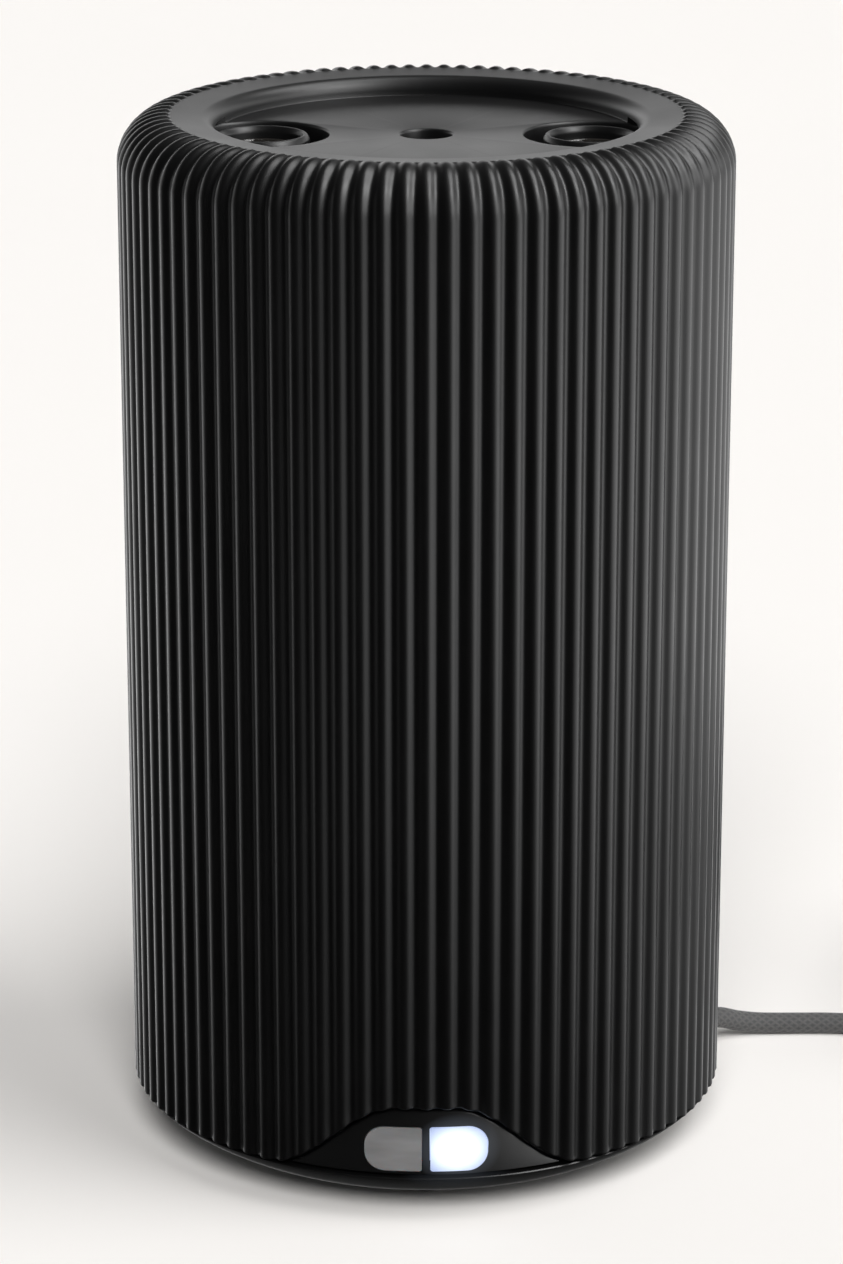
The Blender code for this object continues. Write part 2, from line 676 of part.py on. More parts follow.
def make_main_board():
    low, high = (-24 * MM, 18.0 * MM, 40 * MM), (24 * MM, 19.6 * MM, 108 * MM)
    board = block("main_board", low, high, "board_green")
    chips = [
        ((-9, 19.2, 78), (9, 22.4, 102)),
        ((-20, 19.2, 60), (-11, 21.4, 69)),
        ((8, 19.2, 56), (20, 23.2, 68)),
        ((-5, 19.2, 42), (5, 23.4, 50)),
    ]
    parts = [block("chip", *in_mm(corners), "chip_black") for corners in chips]
    boolean(board, parts, "UNION")
    holes = []
    for sign in SIDES.values():
        hole = disc("hole", 1.5 * MM, 0, 6 * MM, "board_green", around=16)
        hole.rotation_euler.x = math.pi / 2
        hole.location = (sign * 18 * MM, 21 * MM, 45 * MM)
        holes.append(hole)
    boolean(board, holes)
    for side, sign in SIDES.items():
        outline = [(0, -1.6), (2.6, -1.6), (2.6, -0.3), (1.2, -0.3), (1.2, 1.6), (0, 1.6)]
        screw = turned(f"board_screw_{side}", in_mm(outline), "steel", around=16)
        screw.rotation_euler.x = -math.pi / 2
        screw.location = (sign * 18 * MM, 18.0 * MM, 45 * MM)


def make_sensor():
    """Slim mast that holds the room sensor under the centre hole."""
    low = DECK_TOP + GAP
    mast = block("sensor_mast", (-3.5 * MM, -2.5 * MM, low), (3.5 * MM, 2.5 * MM, 160 * MM), "frame_grey")
    foot = block("foot", (-6 * MM, -6 * MM, low), (6 * MM, 6 * MM, low + 2 * MM), "frame_grey")
    boolean(mast, [foot], "UNION")
    outline = [(0, 160.3 * MM), (3.2 * MM, 160.3 * MM), (3.2 * MM, 164.6 * MM)]
    outline += [(2.0 * MM, 166.0 * MM), (0, 166.4 * MM)]
    turned("room_sensor", outline, "chip_black")


def wire(name, route, diameter, finish):
    """A round wire along a smooth curve through the route's points."""
    points = smooth_route(route, 2)
    data = bpy.data.curves.new(name, "CURVE")
    data.dimensions = "3D"
    data.bevel_depth = diameter / 2
    data.bevel_resolution = 2
    data.use_fill_caps = True
    spline = data.splines.new("POLY")
    spline.points.add(len(points) - 1)
    for slot, point in zip(spline.points, points):
        slot.co = (*point, 1.0)
    return link(name, data, finish)


def smooth_route(route, steps):
    """Catmull-Rom points through the route, the ends included."""
    route = [Vector(p) for p in route]
    ends = [2 * route[0] - route[1]] + route + [2 * route[-1] - route[-2]]
    points = []
    for a, b, c, d in zip(ends, ends[1:], ends[2:], ends[3:]):
        for i in range(steps):
            t = i / steps
            bend = (2 * a - 5 * b + 4 * c - d) * t**2 + (3 * b - a - 3 * c + d) * t**3
            points.append(0.5 * (2 * b + (c - a) * t + bend))
    return points + [route[-1]]


def make_leads():
    """Wires inside the base: supply, panel and the two fans."""
    supply = [(31, 16.5, 6.4), (25, 16.6, 8.4), (17, 20, 11), (7, 25.8, 13), (1, 28.3, 17)]
    supply += [(0, 28.4, 23), (0, 28, 31), (0, 27, 38), (0, 26, 44)]
    wire("supply_lead", in_mm(supply), 2.0 * MM, "wire_black")
    panel = [(0, -36.9, 12), (0, -33, 12.4), (-1, -22, 13), (-2, -8, 13.4), (-3, 8, 13.4)]
    panel += [(-3.4, 20, 13.6), (-3.4, 26, 15), (-3.3, 28.2, 20), (-3.3, 28.3, 28)]
    panel += [(-3.3, 27.6, 36), (-3.3, 27, 44)]
    wire("panel_lead", in_mm(panel), 1.4 * MM, "wire_black")
    for side, sign in SIDES.items():
        fan = [(sign * 26.6, 19.4, 30), (sign * 26.4, 22.4, 33), (sign * 24, 25.5, 37)]
        fan += [(sign * 18, 26.6, 41), (sign * 12, 26, 44), (sign * 6.2, 24.6, 46)]
        wire(f"fan_lead_{side}", in_mm(fan), 1.4 * MM, "wire_black")


# ---------------------------------------------------------------- outside lead


def facing_exit(obj):
    """Turns a piece made along +Y to the direction in which the lead leaves."""
    obj.rotation_euler.z = math.radians(EXIT_DEGREES - 90)
    return obj


def make_boot():
    """Tapered rubber boot, held in the base's notch by a flange inside the wall."""
    end = BOOT_END_R / MM
    thick = BOOT_R / MM
    outline = [(0, 36.2), (3.8, 36.2), (3.8, 38.3), (thick, 38.3), (thick, 47), (2.3, end), (0, end)]
    boot = turned("cord_boot", in_mm(outline), "foot_rubber")
    boot.rotation_euler.x = -math.pi / 2
    boot.location.z = BOOT_Z
    facing_exit(boot)
    under = block("under", (-6 * MM, 35 * MM, -3 * MM), (6 * MM, 39.0 * MM, 3.7 * MM), "foot_rubber")
    boolean(boot, [facing_exit(under)])


def cord_route():
    """From the boot, settling to the floor and off to the right, in mm."""
    z = CORD_FLOOR_Z / MM
    exit_x, exit_y, _ = polar(BOOT_END_R / MM + 0.3, EXIT_DEGREES)
    falling = [(exit_x, exit_y, BOOT_Z / MM), (52.6, 28.2, 4.2), (55.9, 29.8, 2.9), (60.0, 30.8, 2.1)]
    flat = [(66.0, 31.2), (72.0, 31.2), (79.0, 30.4), (88.0, 27.6), (98.0, 23.5)]
    return falling + [(x, y, z) for x, y in flat]


def coil_radius():
    """(inner, outer) radius of the coil's ring of turns."""
    half = COIL_COLUMNS * CORD_D / 2
    return COIL_MEAN_R - half, COIL_MEAN_R + half


def make_cord():
    wire("cord", in_mm(cord_route()), CORD_D, "cord_braid")
    inner, outer = coil_radius()
    outer_edge = outer + 0.2 * MM
    outline = [(inner, COIL_LIFT), (outer_edge, COIL_LIFT), (outer_edge, coil_top()), (inner, coil_top())]
    turned("cord_coil", outline, "cord_braid", (*COIL_CENTRE, 0))


def coil_top():
    return COIL_LIFT + COIL_LAYERS * CORD_D


def adapter_box():
    """The adapter's shell lies on the coil, its boot facing the front."""
    wide, long, high = ADAPTER_SIZE
    low = Vector((COIL_CENTRE[0] - wide / 2, COIL_CENTRE[1] - long / 2, coil_top() + GAP))
    return low, low + Vector(ADAPTER_SIZE)


def make_adapter():
    """Wall adapter: shell, flat blades and a small boot."""
    low, high = adapter_box()
    corner = ADAPTER_CORNER
    outline = []
    outline += arc((high.x - corner, low.z + corner), corner, -90, 0, 5)
    outline += arc((high.x - corner, high.z - corner), corner, 0, 90, 5)
    outline += arc((low.x + corner, high.z - corner), corner, 90, 180, 5)
    outline += arc((low.x + corner, low.z + corner), corner, 180, 270, 5)
    prism("adapter", outline, low.y, high.y, "adapter_black", along="Y")
    middle = (low + high) / 2
    for side, sign in SIDES.items():
        near = middle + Vector((sign * 6.35 * MM - 0.75 * MM, 0, -3.15 * MM))
        near.y = high.y + GAP
        block(f"blade_{side}", near, near + Vector((1.5 * MM, 16.7 * MM, 6.3 * MM)), "steel")
    boot = [(0, 0.3), (3.4, 0.3), (3.4, 2.0), (2.9, 5), (2.4, 11), (0, 11)]
    piece = turned("adapter_boot", in_mm(boot), "foot_rubber", around=28)
    piece.rotation_euler.x = math.pi / 2
    piece.location = (middle.x, low.y, middle.z)


def make_tail():
    """From the coil's top turn, forward and up in a bend, and back into the adapter's boot."""
    x, y = COIL_CENTRE[0] / MM, COIL_CENTRE[1] / MM
    top = coil_top() / MM - CORD_D / MM / 2
    low, high = adapter_box()
    boot_y = low.y / MM - 11.3
    boot_z = (low.z + high.z) / 2 / MM
    left = x - (COIL_MEAN_R + CORD_D) / MM
    route = [(left, y - 16, top), (left + 0.3, y - 22, top + 1.6), (left + 2.2, y - 31, top + 5.6)]
    route += [(left + 7.2, y - 38.6, top + 10.2), (left + 15, y - 42.4, boot_z - 0.6)]
    route += [(left + 22.4, y - 40.6, boot_z), (x, boot_y - 4.2, boot_z), (x, boot_y, boot_z)]
    wire("cord_tail", in_mm(route), CORD_D, "cord_braid")


def main():
    clear_scene()
    make_cover()
    make_dish()
    make_base()
    make_feet()
    make_screws()
    make_filter()
    make_deck()
    make_panel()
    make_buttons()
    make_panel_board()
    for side in SIDES:
        make_fan(side)
        make_bay(side)
        make_warmer(side)
        make_vial(side)
    make_main_board()
    make_sensor()
    make_leads()
    make_boot()
    make_cord()
    make_adapter()
    make_tail()


main()
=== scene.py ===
"""The looks of the ribbed tabletop diffuser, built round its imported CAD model.

Lengths are in metres, +Z is up and the front faces -Y. Sizes come from the
frame where a CAD node has them, and the fine surfaces are worked out here.
"""

import json
import math

import bmesh
import bpy
from mathutils import Matrix, Vector

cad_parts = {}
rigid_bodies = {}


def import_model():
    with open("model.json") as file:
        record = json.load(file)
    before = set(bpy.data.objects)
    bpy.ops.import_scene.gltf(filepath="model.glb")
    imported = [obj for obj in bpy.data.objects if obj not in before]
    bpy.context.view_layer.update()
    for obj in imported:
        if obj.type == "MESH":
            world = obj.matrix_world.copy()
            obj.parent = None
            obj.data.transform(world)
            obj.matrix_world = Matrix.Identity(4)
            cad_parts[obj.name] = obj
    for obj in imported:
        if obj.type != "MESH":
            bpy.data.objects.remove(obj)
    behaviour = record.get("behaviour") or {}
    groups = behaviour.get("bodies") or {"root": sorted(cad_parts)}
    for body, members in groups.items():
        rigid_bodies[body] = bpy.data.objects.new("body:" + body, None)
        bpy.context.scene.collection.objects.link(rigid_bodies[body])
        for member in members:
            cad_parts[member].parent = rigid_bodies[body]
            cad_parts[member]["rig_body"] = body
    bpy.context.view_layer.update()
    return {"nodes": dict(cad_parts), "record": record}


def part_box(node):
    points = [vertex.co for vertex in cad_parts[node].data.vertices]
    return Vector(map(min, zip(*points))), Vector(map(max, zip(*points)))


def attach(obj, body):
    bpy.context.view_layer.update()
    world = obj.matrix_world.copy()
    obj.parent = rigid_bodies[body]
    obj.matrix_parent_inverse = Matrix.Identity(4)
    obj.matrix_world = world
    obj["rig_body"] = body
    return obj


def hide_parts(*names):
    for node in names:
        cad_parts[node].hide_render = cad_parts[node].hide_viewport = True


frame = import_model()
nodes = frame["nodes"]

MM = 0.001
SIDES = {"left": -1, "right": 1}
FRONT = -math.pi / 2
AROUND = 192  # sides of a large turned piece
AROUND_SMALL = 72
FULL = 2 * math.pi

# ---------------------------------------------------------------- sizes read from the frame

cover_low, cover_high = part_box("outer_cover")
dish_low, dish_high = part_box("top_dish")
tray_low, tray_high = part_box("base_tray")
panel_low, panel_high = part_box("front_panel")
COVER_R = cover_high.y
COVER_LOW = cover_low.z
COVER_TOP = cover_high.z
RING_TOP = dish_high.z
PORT_X = (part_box("vial_right")[0].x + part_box("vial_right")[1].x) / 2
PANEL_R = -panel_low.y
BASE_LOW = tray_low.z
BASE_TOP = tray_high.z

# Cover: the fine ribs
COVER_INNER_R = 47.4 * MM
SHOULDER_R = 8.0 * MM
SHOULDER_STEPS = 12
ROLL_STEPS = 5  # rings from the end of the shoulder in to the nose
RIB_COUNT = 90
RIB_STEPS = 12  # columns in each rib
RIB_DEPTH = 0.75 * MM
RIB_SHARE = 1.35  # above 1, crests are wider than valleys
RIB_TOP_SHARE = 0.6  # of that depth, where the shoulder levels out
NOSE_R = 41.2 * MM
RING_RISE = 0.4 * MM  # the ring is dished, and its outer edge stands this much above its inner one
HILL_HIGH = 11.9 * MM
HILL_FLAT = 5.0 * MM
HILL_HALF = 27.0 * MM
PANEL_GAP = 0.6 * MM
PANEL_INNER_R = 46.0 * MM
PANEL_HALF_STEPS = 60

# Dish
WELL_R = 36.0 * MM
PLATE_R = 33.2 * MM
PLATE_TOP = 169.4 * MM
PLATE_UNDER = 167.6 * MM
PORT_R = 10.9 * MM
CENTRE_HOLE_R = 4.2 * MM

# Base
BASE_FOOT_R = 38.3 * MM
BASE_RIM_R = 49.2 * MM
BASE_BULGE = 1.23
BASE_STEPS = 16
AIR_SLOTS = 10

# Buttons
BUTTON_WIDE = 9.3 * MM
BUTTON_HIGH = 7.6 * MM
BUTTON_Z = 12.7 * MM
BUTTON_SPLIT = 1.4 * MM
BUTTON_CORNER = 3.3 * MM
BUTTON_SPLIT_CORNER = 0.45 * MM

# Lead
CORD_D = 3.7 * MM
CORD_FLOOR_Z = CORD_D / 2 + 0.05 * MM
EXIT_DEGREES = 28.0
BOOT_Z = 4.7 * MM
BOOT_END_R = 56.0 * MM
coil_low, coil_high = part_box("cord_coil")
COIL_CENTRE = ((coil_low.x + coil_high.x) / 2, (coil_low.y + coil_high.y) / 2)
COIL_MEAN_R = 22.2 * MM
COIL_COLUMNS = 3
COIL_LAYERS = 4
COIL_LIFT = 0.1 * MM
COIL_TURNS = 11.75
LANE_TURNS = 0.97  # turns that each lane of the coil takes up
SHIFT_TURNS = 0.16  # turns over which the lead moves to the next lane
BRAID_PITCH = 1.7 * MM  # length of one diamond along the lead
BRAID_STRANDS = 10.0  # diamonds round it


# ---------------------------------------------------------------- mesh helpers


def in_mm(points):
    return [tuple(c * MM for c in point) for point in points]


def polar(radius, degrees, z=0.0):
    a = math.radians(degrees)
    return (radius * math.cos(a), radius * math.sin(a), z)


SCREW_PLACES = [polar(34 * MM, a) for a in (45, 135, 225, 315)]
FOOT_PLACES = [polar(32 * MM, a) for a in (0, 90, 180, 270)]


def arc(centre, radius, start, end, steps):
    """Points on an arc between two angles in degrees, the ends included."""
    points = []
    for i in range(steps + 1):
        a = math.radians(start + (end - start) * i / steps)
        points.append((centre[0] + radius * math.cos(a), centre[1] + radius * math.sin(a)))
    return points


def add_object(name, bm, finish, location=(0, 0, 0), sharp=35.0):
    bmesh.ops.remove_doubles(bm, verts=bm.verts, dist=1e-7)
    bmesh.ops.recalc_face_normals(bm, faces=bm.faces)
    mesh = bpy.data.meshes.new(name)
    bm.to_mesh(mesh)
    bm.free()
    mesh.shade_smooth()
    mesh.set_sharp_from_angle(angle=math.radians(sharp))
    obj = bpy.data.objects.new(name, mesh)
    obj.location = location
    if finish:
        mesh.materials.append(finish)
    bpy.context.scene.collection.objects.link(obj)
    return obj


def turned(name, outline, finish, location=(0, 0, 0), around=AROUND_SMALL):
    """A solid turned about Z from a closed outline of (radius, height) points."""
    bm = bmesh.new()
    columns = []
    for i in range(around):
        a = FULL * i / around
        columns.append([bm.verts.new((r * math.cos(a), r * math.sin(a), z)) for r, z in outline])
    count = len(outline)
    for here, there in zip(columns, columns[1:] + columns[:1]):
        for k in range(count):
            up = (k + 1) % count
            if outline[k][0] != 0 or outline[up][0] != 0:
                bm.faces.new((here[k], there[k], there[up], here[up]))
    return add_object(name, bm, finish, location)


def cylinder(radius, low, high, place=(0, 0, 0), around=AROUND_SMALL):
    """A plain upright cylinder to join or to cut with, sized in mm."""
    return turned("cylinder", in_mm([(0, low), (radius, low), (radius, high), (0, high)]), None, place, around)


def rounded(outline, radius, steps=4):
    """The outline with each corner away from the axis cut back to a small arc."""
    points = []
    count = len(outline)
    for i, point in enumerate(outline):
        here = Vector(point)
        before = Vector(outline[i - 1]) - here
        after = Vector(outline[(i + 1) % count]) - here
        if point[0] == 0 or before.length == 0 or after.length == 0:
            points.append(tuple(point))
            continue
        back = min(radius, 0.45 * before.length, 0.45 * after.length)
        start, end = here + before.normalized() * back, here + after.normalized() * back
        for k in range(steps + 1):
            t = k / steps
            points.append(tuple(start * (1 - t) ** 2 + here * 2 * t * (1 - t) + end * t**2))
    return points


def prism(name, outline, low, high, finish):
    """An outline in the XZ plane, extruded along Y."""
    bm = bmesh.new()
    face = bm.faces.new([bm.verts.new((x, low, z)) for x, z in outline])
    grown = bmesh.ops.extrude_face_region(bm, geom=[face])
    moved = [v for v in grown["geom"] if isinstance(v, bmesh.types.BMVert)]
    bmesh.ops.translate(bm, verts=moved, vec=(0, high - low, 0))
    return add_object(name, bm, finish)


def block(name, low, high):
    """A box between two corners, to join or to cut with."""
    bm = bmesh.new()
    bmesh.ops.create_cube(bm, size=1.0)
    low, high = Vector(low), Vector(high)
    scale = Matrix.Diagonal((*(high - low), 1.0))
    bmesh.ops.transform(bm, matrix=Matrix.Translation((low + high) / 2) @ scale, verts=bm.verts)
    return add_object(name, bm, None)


def spokes(place, turn, *bars):
    """Three copies of each bar, a third of a turn apart. A bar is two corners in mm."""
    made = []
    for i in range(3):
        for bar in bars:
            piece = block("spoke", *in_mm(bar))
            piece.rotation_euler.z = math.radians(120 * i + turn)
            piece.location = place
            made.append(piece)
    return made


def boolean(target, tools, operation="DIFFERENCE"):
    """Applies each tool to the target, and removes the tool."""
    for tool in tools:
        modifier = target.modifiers.new(operation.lower(), "BOOLEAN")
        modifier.operation = operation
        modifier.solver = "MANIFOLD"
        modifier.object = tool
        graph = bpy.context.evaluated_depsgraph_get()
        mesh = bpy.data.meshes.new_from_object(target.evaluated_get(graph))
        target.modifiers.remove(modifier)
        target.data = mesh
        bpy.data.objects.remove(tool)
    target.data.shade_smooth()
    target.data.set_sharp_from_angle(angle=math.radians(35))
    return target


def soften(obj, width, segments=2):
    """Rounds the object's sharp edges."""
    bevel = obj.modifiers.new("soft_edges", "BEVEL")
    bevel.width = width
    bevel.segments = segments
    bevel.limit_method = "ANGLE"
    bevel.angle_limit = math.radians(38)
    bevel.harden_normals = True
    return obj


# ---------------------------------------------------------------- materials


def new_material(name):
    made = bpy.data.materials.new(name)
    made.use_nodes = True
    return made, made.node_tree, made.node_tree.nodes["Principled BSDF"]


def add_node(tree, kind, **inputs):
    node = tree.nodes.new(kind)
    for key, value in inputs.items():
        node.inputs[key.replace("_", " ").title()].default_value = value
    return node


def ramp(tree, source, low, high, start=0.0, end=1.0):
    """Maps a value between start and end to one between low and high."""
    node = tree.nodes.new("ShaderNodeMapRange")
    node.inputs["From Min"].default_value = start
    node.inputs["From Max"].default_value = end
    node.inputs["To Min"].default_value = low
    node.inputs["To Max"].default_value = high
    tree.links.new(source, node.inputs["Value"])
    return node.outputs["Result"]


def tint(tree, source, dark, light):
    """Mixes two colours by a 0 to 1 value."""
    node = tree.nodes.new("ShaderNodeMix")
    node.data_type = "RGBA"
    node.inputs["A"].default_value = (*dark, 1)
    node.inputs["B"].default_value = (*light, 1)
    tree.links.new(source, node.inputs["Factor"])
    return node.outputs["Result"]


def vary(tree, shader, source, colours, roughness):
    """Colour and roughness both follow a 0 to 1 value, from the first of each to the second."""
    tree.links.new(tint(tree, source, *colours), shader.inputs["Base Color"])
    tree.links.new(ramp(tree, source, *roughness), shader.inputs["Roughness"])


def bump(tree, shader, source, distance):
    node = tree.nodes.new("ShaderNodeBump")
    node.inputs["Strength"].default_value = 1.0
    node.inputs["Distance"].default_value = distance
    tree.links.new(source, node.inputs["Height"])
    tree.links.new(node.outputs["Normal"], shader.inputs["Normal"])


def object_noise(tree, scale, detail=3.0, stretch=(1, 1, 1)):
    coords = tree.nodes.new("ShaderNodeTexCoord")
    mapping = tree.nodes.new("ShaderNodeMapping")
    mapping.inputs["Scale"].default_value = stretch
    noise = add_node(tree, "ShaderNodeTexNoise", scale=scale, detail=detail)
    tree.links.new(coords.outputs["Object"], mapping.inputs["Vector"])
    tree.links.new(mapping.outputs["Vector"], noise.inputs["Vector"])
    return noise.outputs["Fac"]


def moulded(name, colour, roughness, grain=9000.0, relief=0.004, metallic=0.0, stretch=(1, 1, 1)):
    """Moulded plastic, rubber or metal: fine grain, with slow changes in tone and gloss."""
    made, tree, shader = new_material(name)
    slow = object_noise(tree, 60.0)
    fine = object_noise(tree, grain, 2.0, stretch)
    dark = [c * 0.85 for c in colour]
    light = [min(1.0, c * 1.25 + 0.0004) for c in colour]
    vary(tree, shader, slow, (dark, light), (roughness - 0.06, roughness + 0.06))
    shader.inputs["Metallic"].default_value = metallic
    shader.inputs["IOR"].default_value = 1.5
    bump(tree, shader, fine, relief * MM)
    return made


def clear(name, colour, roughness, ior, transmission):
    """Glass, resin or liquid, with slow changes in tint."""
    made, tree, shader = new_material(name)
    vary(tree, shader, object_noise(tree, 80.0), ([c * 0.96 for c in colour], colour), (roughness, roughness + 0.04))
    shader.inputs["Transmission Weight"].default_value = transmission
    shader.inputs["IOR"].default_value = ior
    return made


def key_distance(tree, half_wide, half_high):
    """How far a point is from the middle of the lit key, where 1 is an ellipse of these half sizes."""
    coords = tree.nodes.new("ShaderNodeTexCoord")
    mapping = tree.nodes.new("ShaderNodeMapping")
    middle = BUTTON_SPLIT / 2 + BUTTON_WIDE * 0.46
    mapping.inputs["Location"].default_value = (-middle / half_wide, 0, -BUTTON_Z / half_high)
    mapping.inputs["Scale"].default_value = (1 / half_wide, 0, 1 / half_high)
    reach = tree.nodes.new("ShaderNodeVectorMath")
    reach.operation = "LENGTH"
    tree.links.new(coords.outputs["Object"], mapping.inputs["Vector"])
    tree.links.new(mapping.outputs["Vector"], reach.inputs[0])
    return reach.outputs["Value"]


def glowing(name):
    """The lit key: frosted plastic, brightest over its lamp and bluer at the rim."""
    made, tree, shader = new_material(name)
    near_rim = ramp(tree, key_distance(tree, 4.9 * MM, 4.1 * MM), 0.0, 1.0, 0.62, 1.18)
    tree.links.new(tint(tree, near_rim, (0.86, 0.94, 1.0), (0.50, 0.62, 1.0)), shader.inputs["Emission Color"])
    tree.links.new(ramp(tree, near_rim, 1.15, 0.62), shader.inputs["Emission Strength"])
    shader.inputs["Base Color"].default_value = (0.16, 0.18, 0.22, 1)
    shader.inputs["Roughness"].default_value = 0.35
    return made


def frosted():
    """The unlit key: grey frosted plastic, with faint bands from the lens behind."""
    made, tree, shader = new_material("key_dim")
    band = object_noise(tree, 260.0, 2.0, (0.35, 1, 1.6))
    vary(tree, shader, band, ((0.09, 0.09, 0.092), (0.22, 0.22, 0.223)), (0.28, 0.42))
    shader.inputs["Subsurface Weight"].default_value = 0.25
    shader.inputs["Subsurface Scale"].default_value = 0.6 * MM
    bump(tree, shader, object_noise(tree, 5000.0), 0.006 * MM)
    return made


def wound(name):
    """Copper wire in close turns."""
    made, tree, shader = new_material(name)
    coords = tree.nodes.new("ShaderNodeTexCoord")
    wave = add_node(tree, "ShaderNodeTexWave", scale=700.0, distortion=0.4)
    wave.bands_direction = "Z"
    tree.links.new(coords.outputs["Object"], wave.inputs["Vector"])
    vary(tree, shader, wave.outputs["Fac"], ((0.25, 0.09, 0.03), (0.72, 0.34, 0.15)), (0.45, 0.28))
    shader.inputs["Metallic"].default_value = 1.0
    bump(tree, shader, wave.outputs["Fac"], 0.05 * MM)
    return made


def circuit(name):
    """Solder mask over copper tracks."""
    made, tree, shader = new_material(name)
    coords = tree.nodes.new("ShaderNodeTexCoord")
    cells = add_node(tree, "ShaderNodeTexVoronoi", scale=420.0)
    cells.distance = "CHEBYCHEV"
    tree.links.new(coords.outputs["Object"], cells.inputs["Vector"])
    tracks = ramp(tree, cells.outputs["Distance"], 0.0, 1.0, 0.30, 0.36)
    vary(tree, shader, tracks, ((0.012, 0.075, 0.035), (0.03, 0.17, 0.08)), (0.5, 0.32))
    bump(tree, shader, tracks, 0.03 * MM)
    return made


def foam(name):
    """Open-celled foam."""
    made, tree, shader = new_material(name)
    coords = tree.nodes.new("ShaderNodeTexCoord")
    cells = add_node(tree, "ShaderNodeTexVoronoi", scale=1100.0)
    tree.links.new(coords.outputs["Object"], cells.inputs["Vector"])
    vary(tree, shader, cells.outputs["Distance"], ((0.012, 0.012, 0.014), (0.11, 0.11, 0.12)), (0.85, 1.0))
    bump(tree, shader, cells.outputs["Distance"], 0.4 * MM)
    return made


def braided(name):
    """Two sets of strands that cross, laid along the lead's own UV map."""
    made, tree, shader = new_material(name)
    uv = tree.nodes.new("ShaderNodeUVMap")
    uv.uv_map = "along"
    split = tree.nodes.new("ShaderNodeSeparateXYZ")
    tree.links.new(uv.outputs["UV"], split.inputs["Vector"])

    def math_node(kind, first, second=None):
        node = tree.nodes.new("ShaderNodeMath")
        node.operation = kind
        for slot, value in zip(node.inputs, (first, second)):
            if isinstance(value, float):
                slot.default_value = value
            elif value is not None:
                tree.links.new(value, slot)
        return node.outputs["Value"]

    along = math_node("MULTIPLY", split.outputs["X"], FULL)
    across = math_node("MULTIPLY", split.outputs["Y"], FULL * BRAID_STRANDS)
    right = math_node("SINE", math_node("ADD", along, across))
    left = math_node("SINE", math_node("SUBTRACT", along, across))
    height = math_node("MAXIMUM", right, left)
    level = ramp(tree, height, 0.0, 1.0, -0.5, 1.0)
    fuzz = object_noise(tree, 2600.0, 4.0)
    tone = math_node("MULTIPLY", level, fuzz)
    tree.links.new(tint(tree, tone, (0.05, 0.05, 0.051), (0.105, 0.103, 0.10)), shader.inputs["Base Color"])
    tree.links.new(ramp(tree, fuzz, 0.75, 0.95), shader.inputs["Roughness"])
    shader.inputs["Sheen Weight"].default_value = 0.25
    shader.inputs["Sheen Roughness"].default_value = 0.5
    bump(tree, shader, level, 0.05 * MM)
    return made


def with_painted_key_glow(made, strength, reach_end):
    """Paints the faint glow of the lit key onto what is round it, as emission on this surface, strongest next to the
    key.
    """
    tree = made.node_tree
    shader = tree.nodes["Principled BSDF"]
    reach = key_distance(tree, 5.6 * MM, 4.8 * MM)
    level = ramp(tree, reach, strength, 0.0, 0.9, reach_end)
    tree.links.new(level, shader.inputs["Emission Strength"])
    shader.inputs["Emission Color"].default_value = (0.72, 0.82, 1.0, 1)
    return made


FINISHES = {
    "cover": moulded("cover_satin", (0.0020, 0.0020, 0.0021), 0.38),
    "dish": moulded("dish_satin", (0.0028, 0.0028, 0.0029), 0.40),
    # the base and the panel carry a painted glow from the lit key: blue emission that fades with distance from it
    "base": with_painted_key_glow(moulded("base_satin_painted_glow", (0.0024, 0.0024, 0.0025), 0.30), 0.016, 1.9),
    "panel": with_painted_key_glow(moulded("panel_satin_painted_glow", (0.0028, 0.0028, 0.0029), 0.38), 0.04, 1.3),
    "key_dim": frosted(),
    "key_lit": glowing("key_lit"),
    "frame": moulded("frame_grey", (0.09, 0.09, 0.10), 0.52, relief=0.01),
    "rotor": moulded("rotor_black", (0.015, 0.015, 0.016), 0.38),
    "copper": wound("copper_coil"),
    "steel": moulded("plated_steel", (0.58, 0.58, 0.60), 0.30, 5000.0, 0.006, metallic=1.0, stretch=(1, 1, 12)),
    "bronze": moulded("sintered_bronze", (0.45, 0.29, 0.12), 0.42, 6000.0, relief=0.012, metallic=1.0),
    "board": circuit("solder_mask"),
    "chip": moulded("chip_epoxy", (0.014, 0.014, 0.015), 0.50, relief=0.01),
    "lamp": clear("lamp_resin", (0.92, 0.92, 0.86), 0.12, 1.5, 0.7),
    "glass": clear("smoked_glass", (0.16, 0.145, 0.13), 0.04, 1.5, 0.92),
    "oil": clear("amber_oil", (0.85, 0.52, 0.16), 0.03, 1.45, 0.9),
    "wick": moulded("wick_fibre", (0.035, 0.033, 0.03), 0.92, 2600.0, relief=0.12, stretch=(1, 1, 0.1)),
    "foam": foam("filter_foam"),
    "rubber": moulded("soft_rubber", (0.018, 0.018, 0.018), 0.78, 5000.0, relief=0.02),
    "wire": moulded("wire_sheath", (0.014, 0.014, 0.015), 0.50, relief=0.01),
    "braid": braided("braided_sleeve"),
    "adapter": moulded("adapter_satin", (0.010, 0.010, 0.0105), 0.40),
}

slot_of = {part["node"]: part["material_slot"] for part in frame["record"]["subparts"]}


def stand_in(piece, *replaced):
    """The fine piece takes the place of CAD nodes: it joins the first one's body, and they are hidden."""
    first = replaced[0]
    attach(piece, nodes[first]["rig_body"])
    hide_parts(*replaced)
    return piece


# ---------------------------------------------------------------- camera

# A level camera with a tall shift would keep the body's sides parallel but
# leave the other views empty, so this one is tipped down instead.
CAMERA_BACK = 697.7 * MM
CAMERA_HIGH = 303.3 * MM
CAMERA_PITCH = 17.363
CAMERA_LENS = 124.58
CAMERA_TURN = 0.065  # degrees, which puts the body a little right of the middle


def make_camera():
    data = bpy.data.cameras.new("camera")
    data.lens = CAMERA_LENS
    data.sensor_width = 36.0
    data.clip_start, data.clip_end = 0.02, 20.0
    camera = bpy.data.objects.new("camera", data)
    camera.location = (0, -CAMERA_BACK, CAMERA_HIGH)
    camera.rotation_euler = (math.radians(90 - CAMERA_PITCH), 0, math.radians(CAMERA_TURN))
    bpy.context.scene.collection.objects.link(camera)
    bpy.context.scene.camera = camera


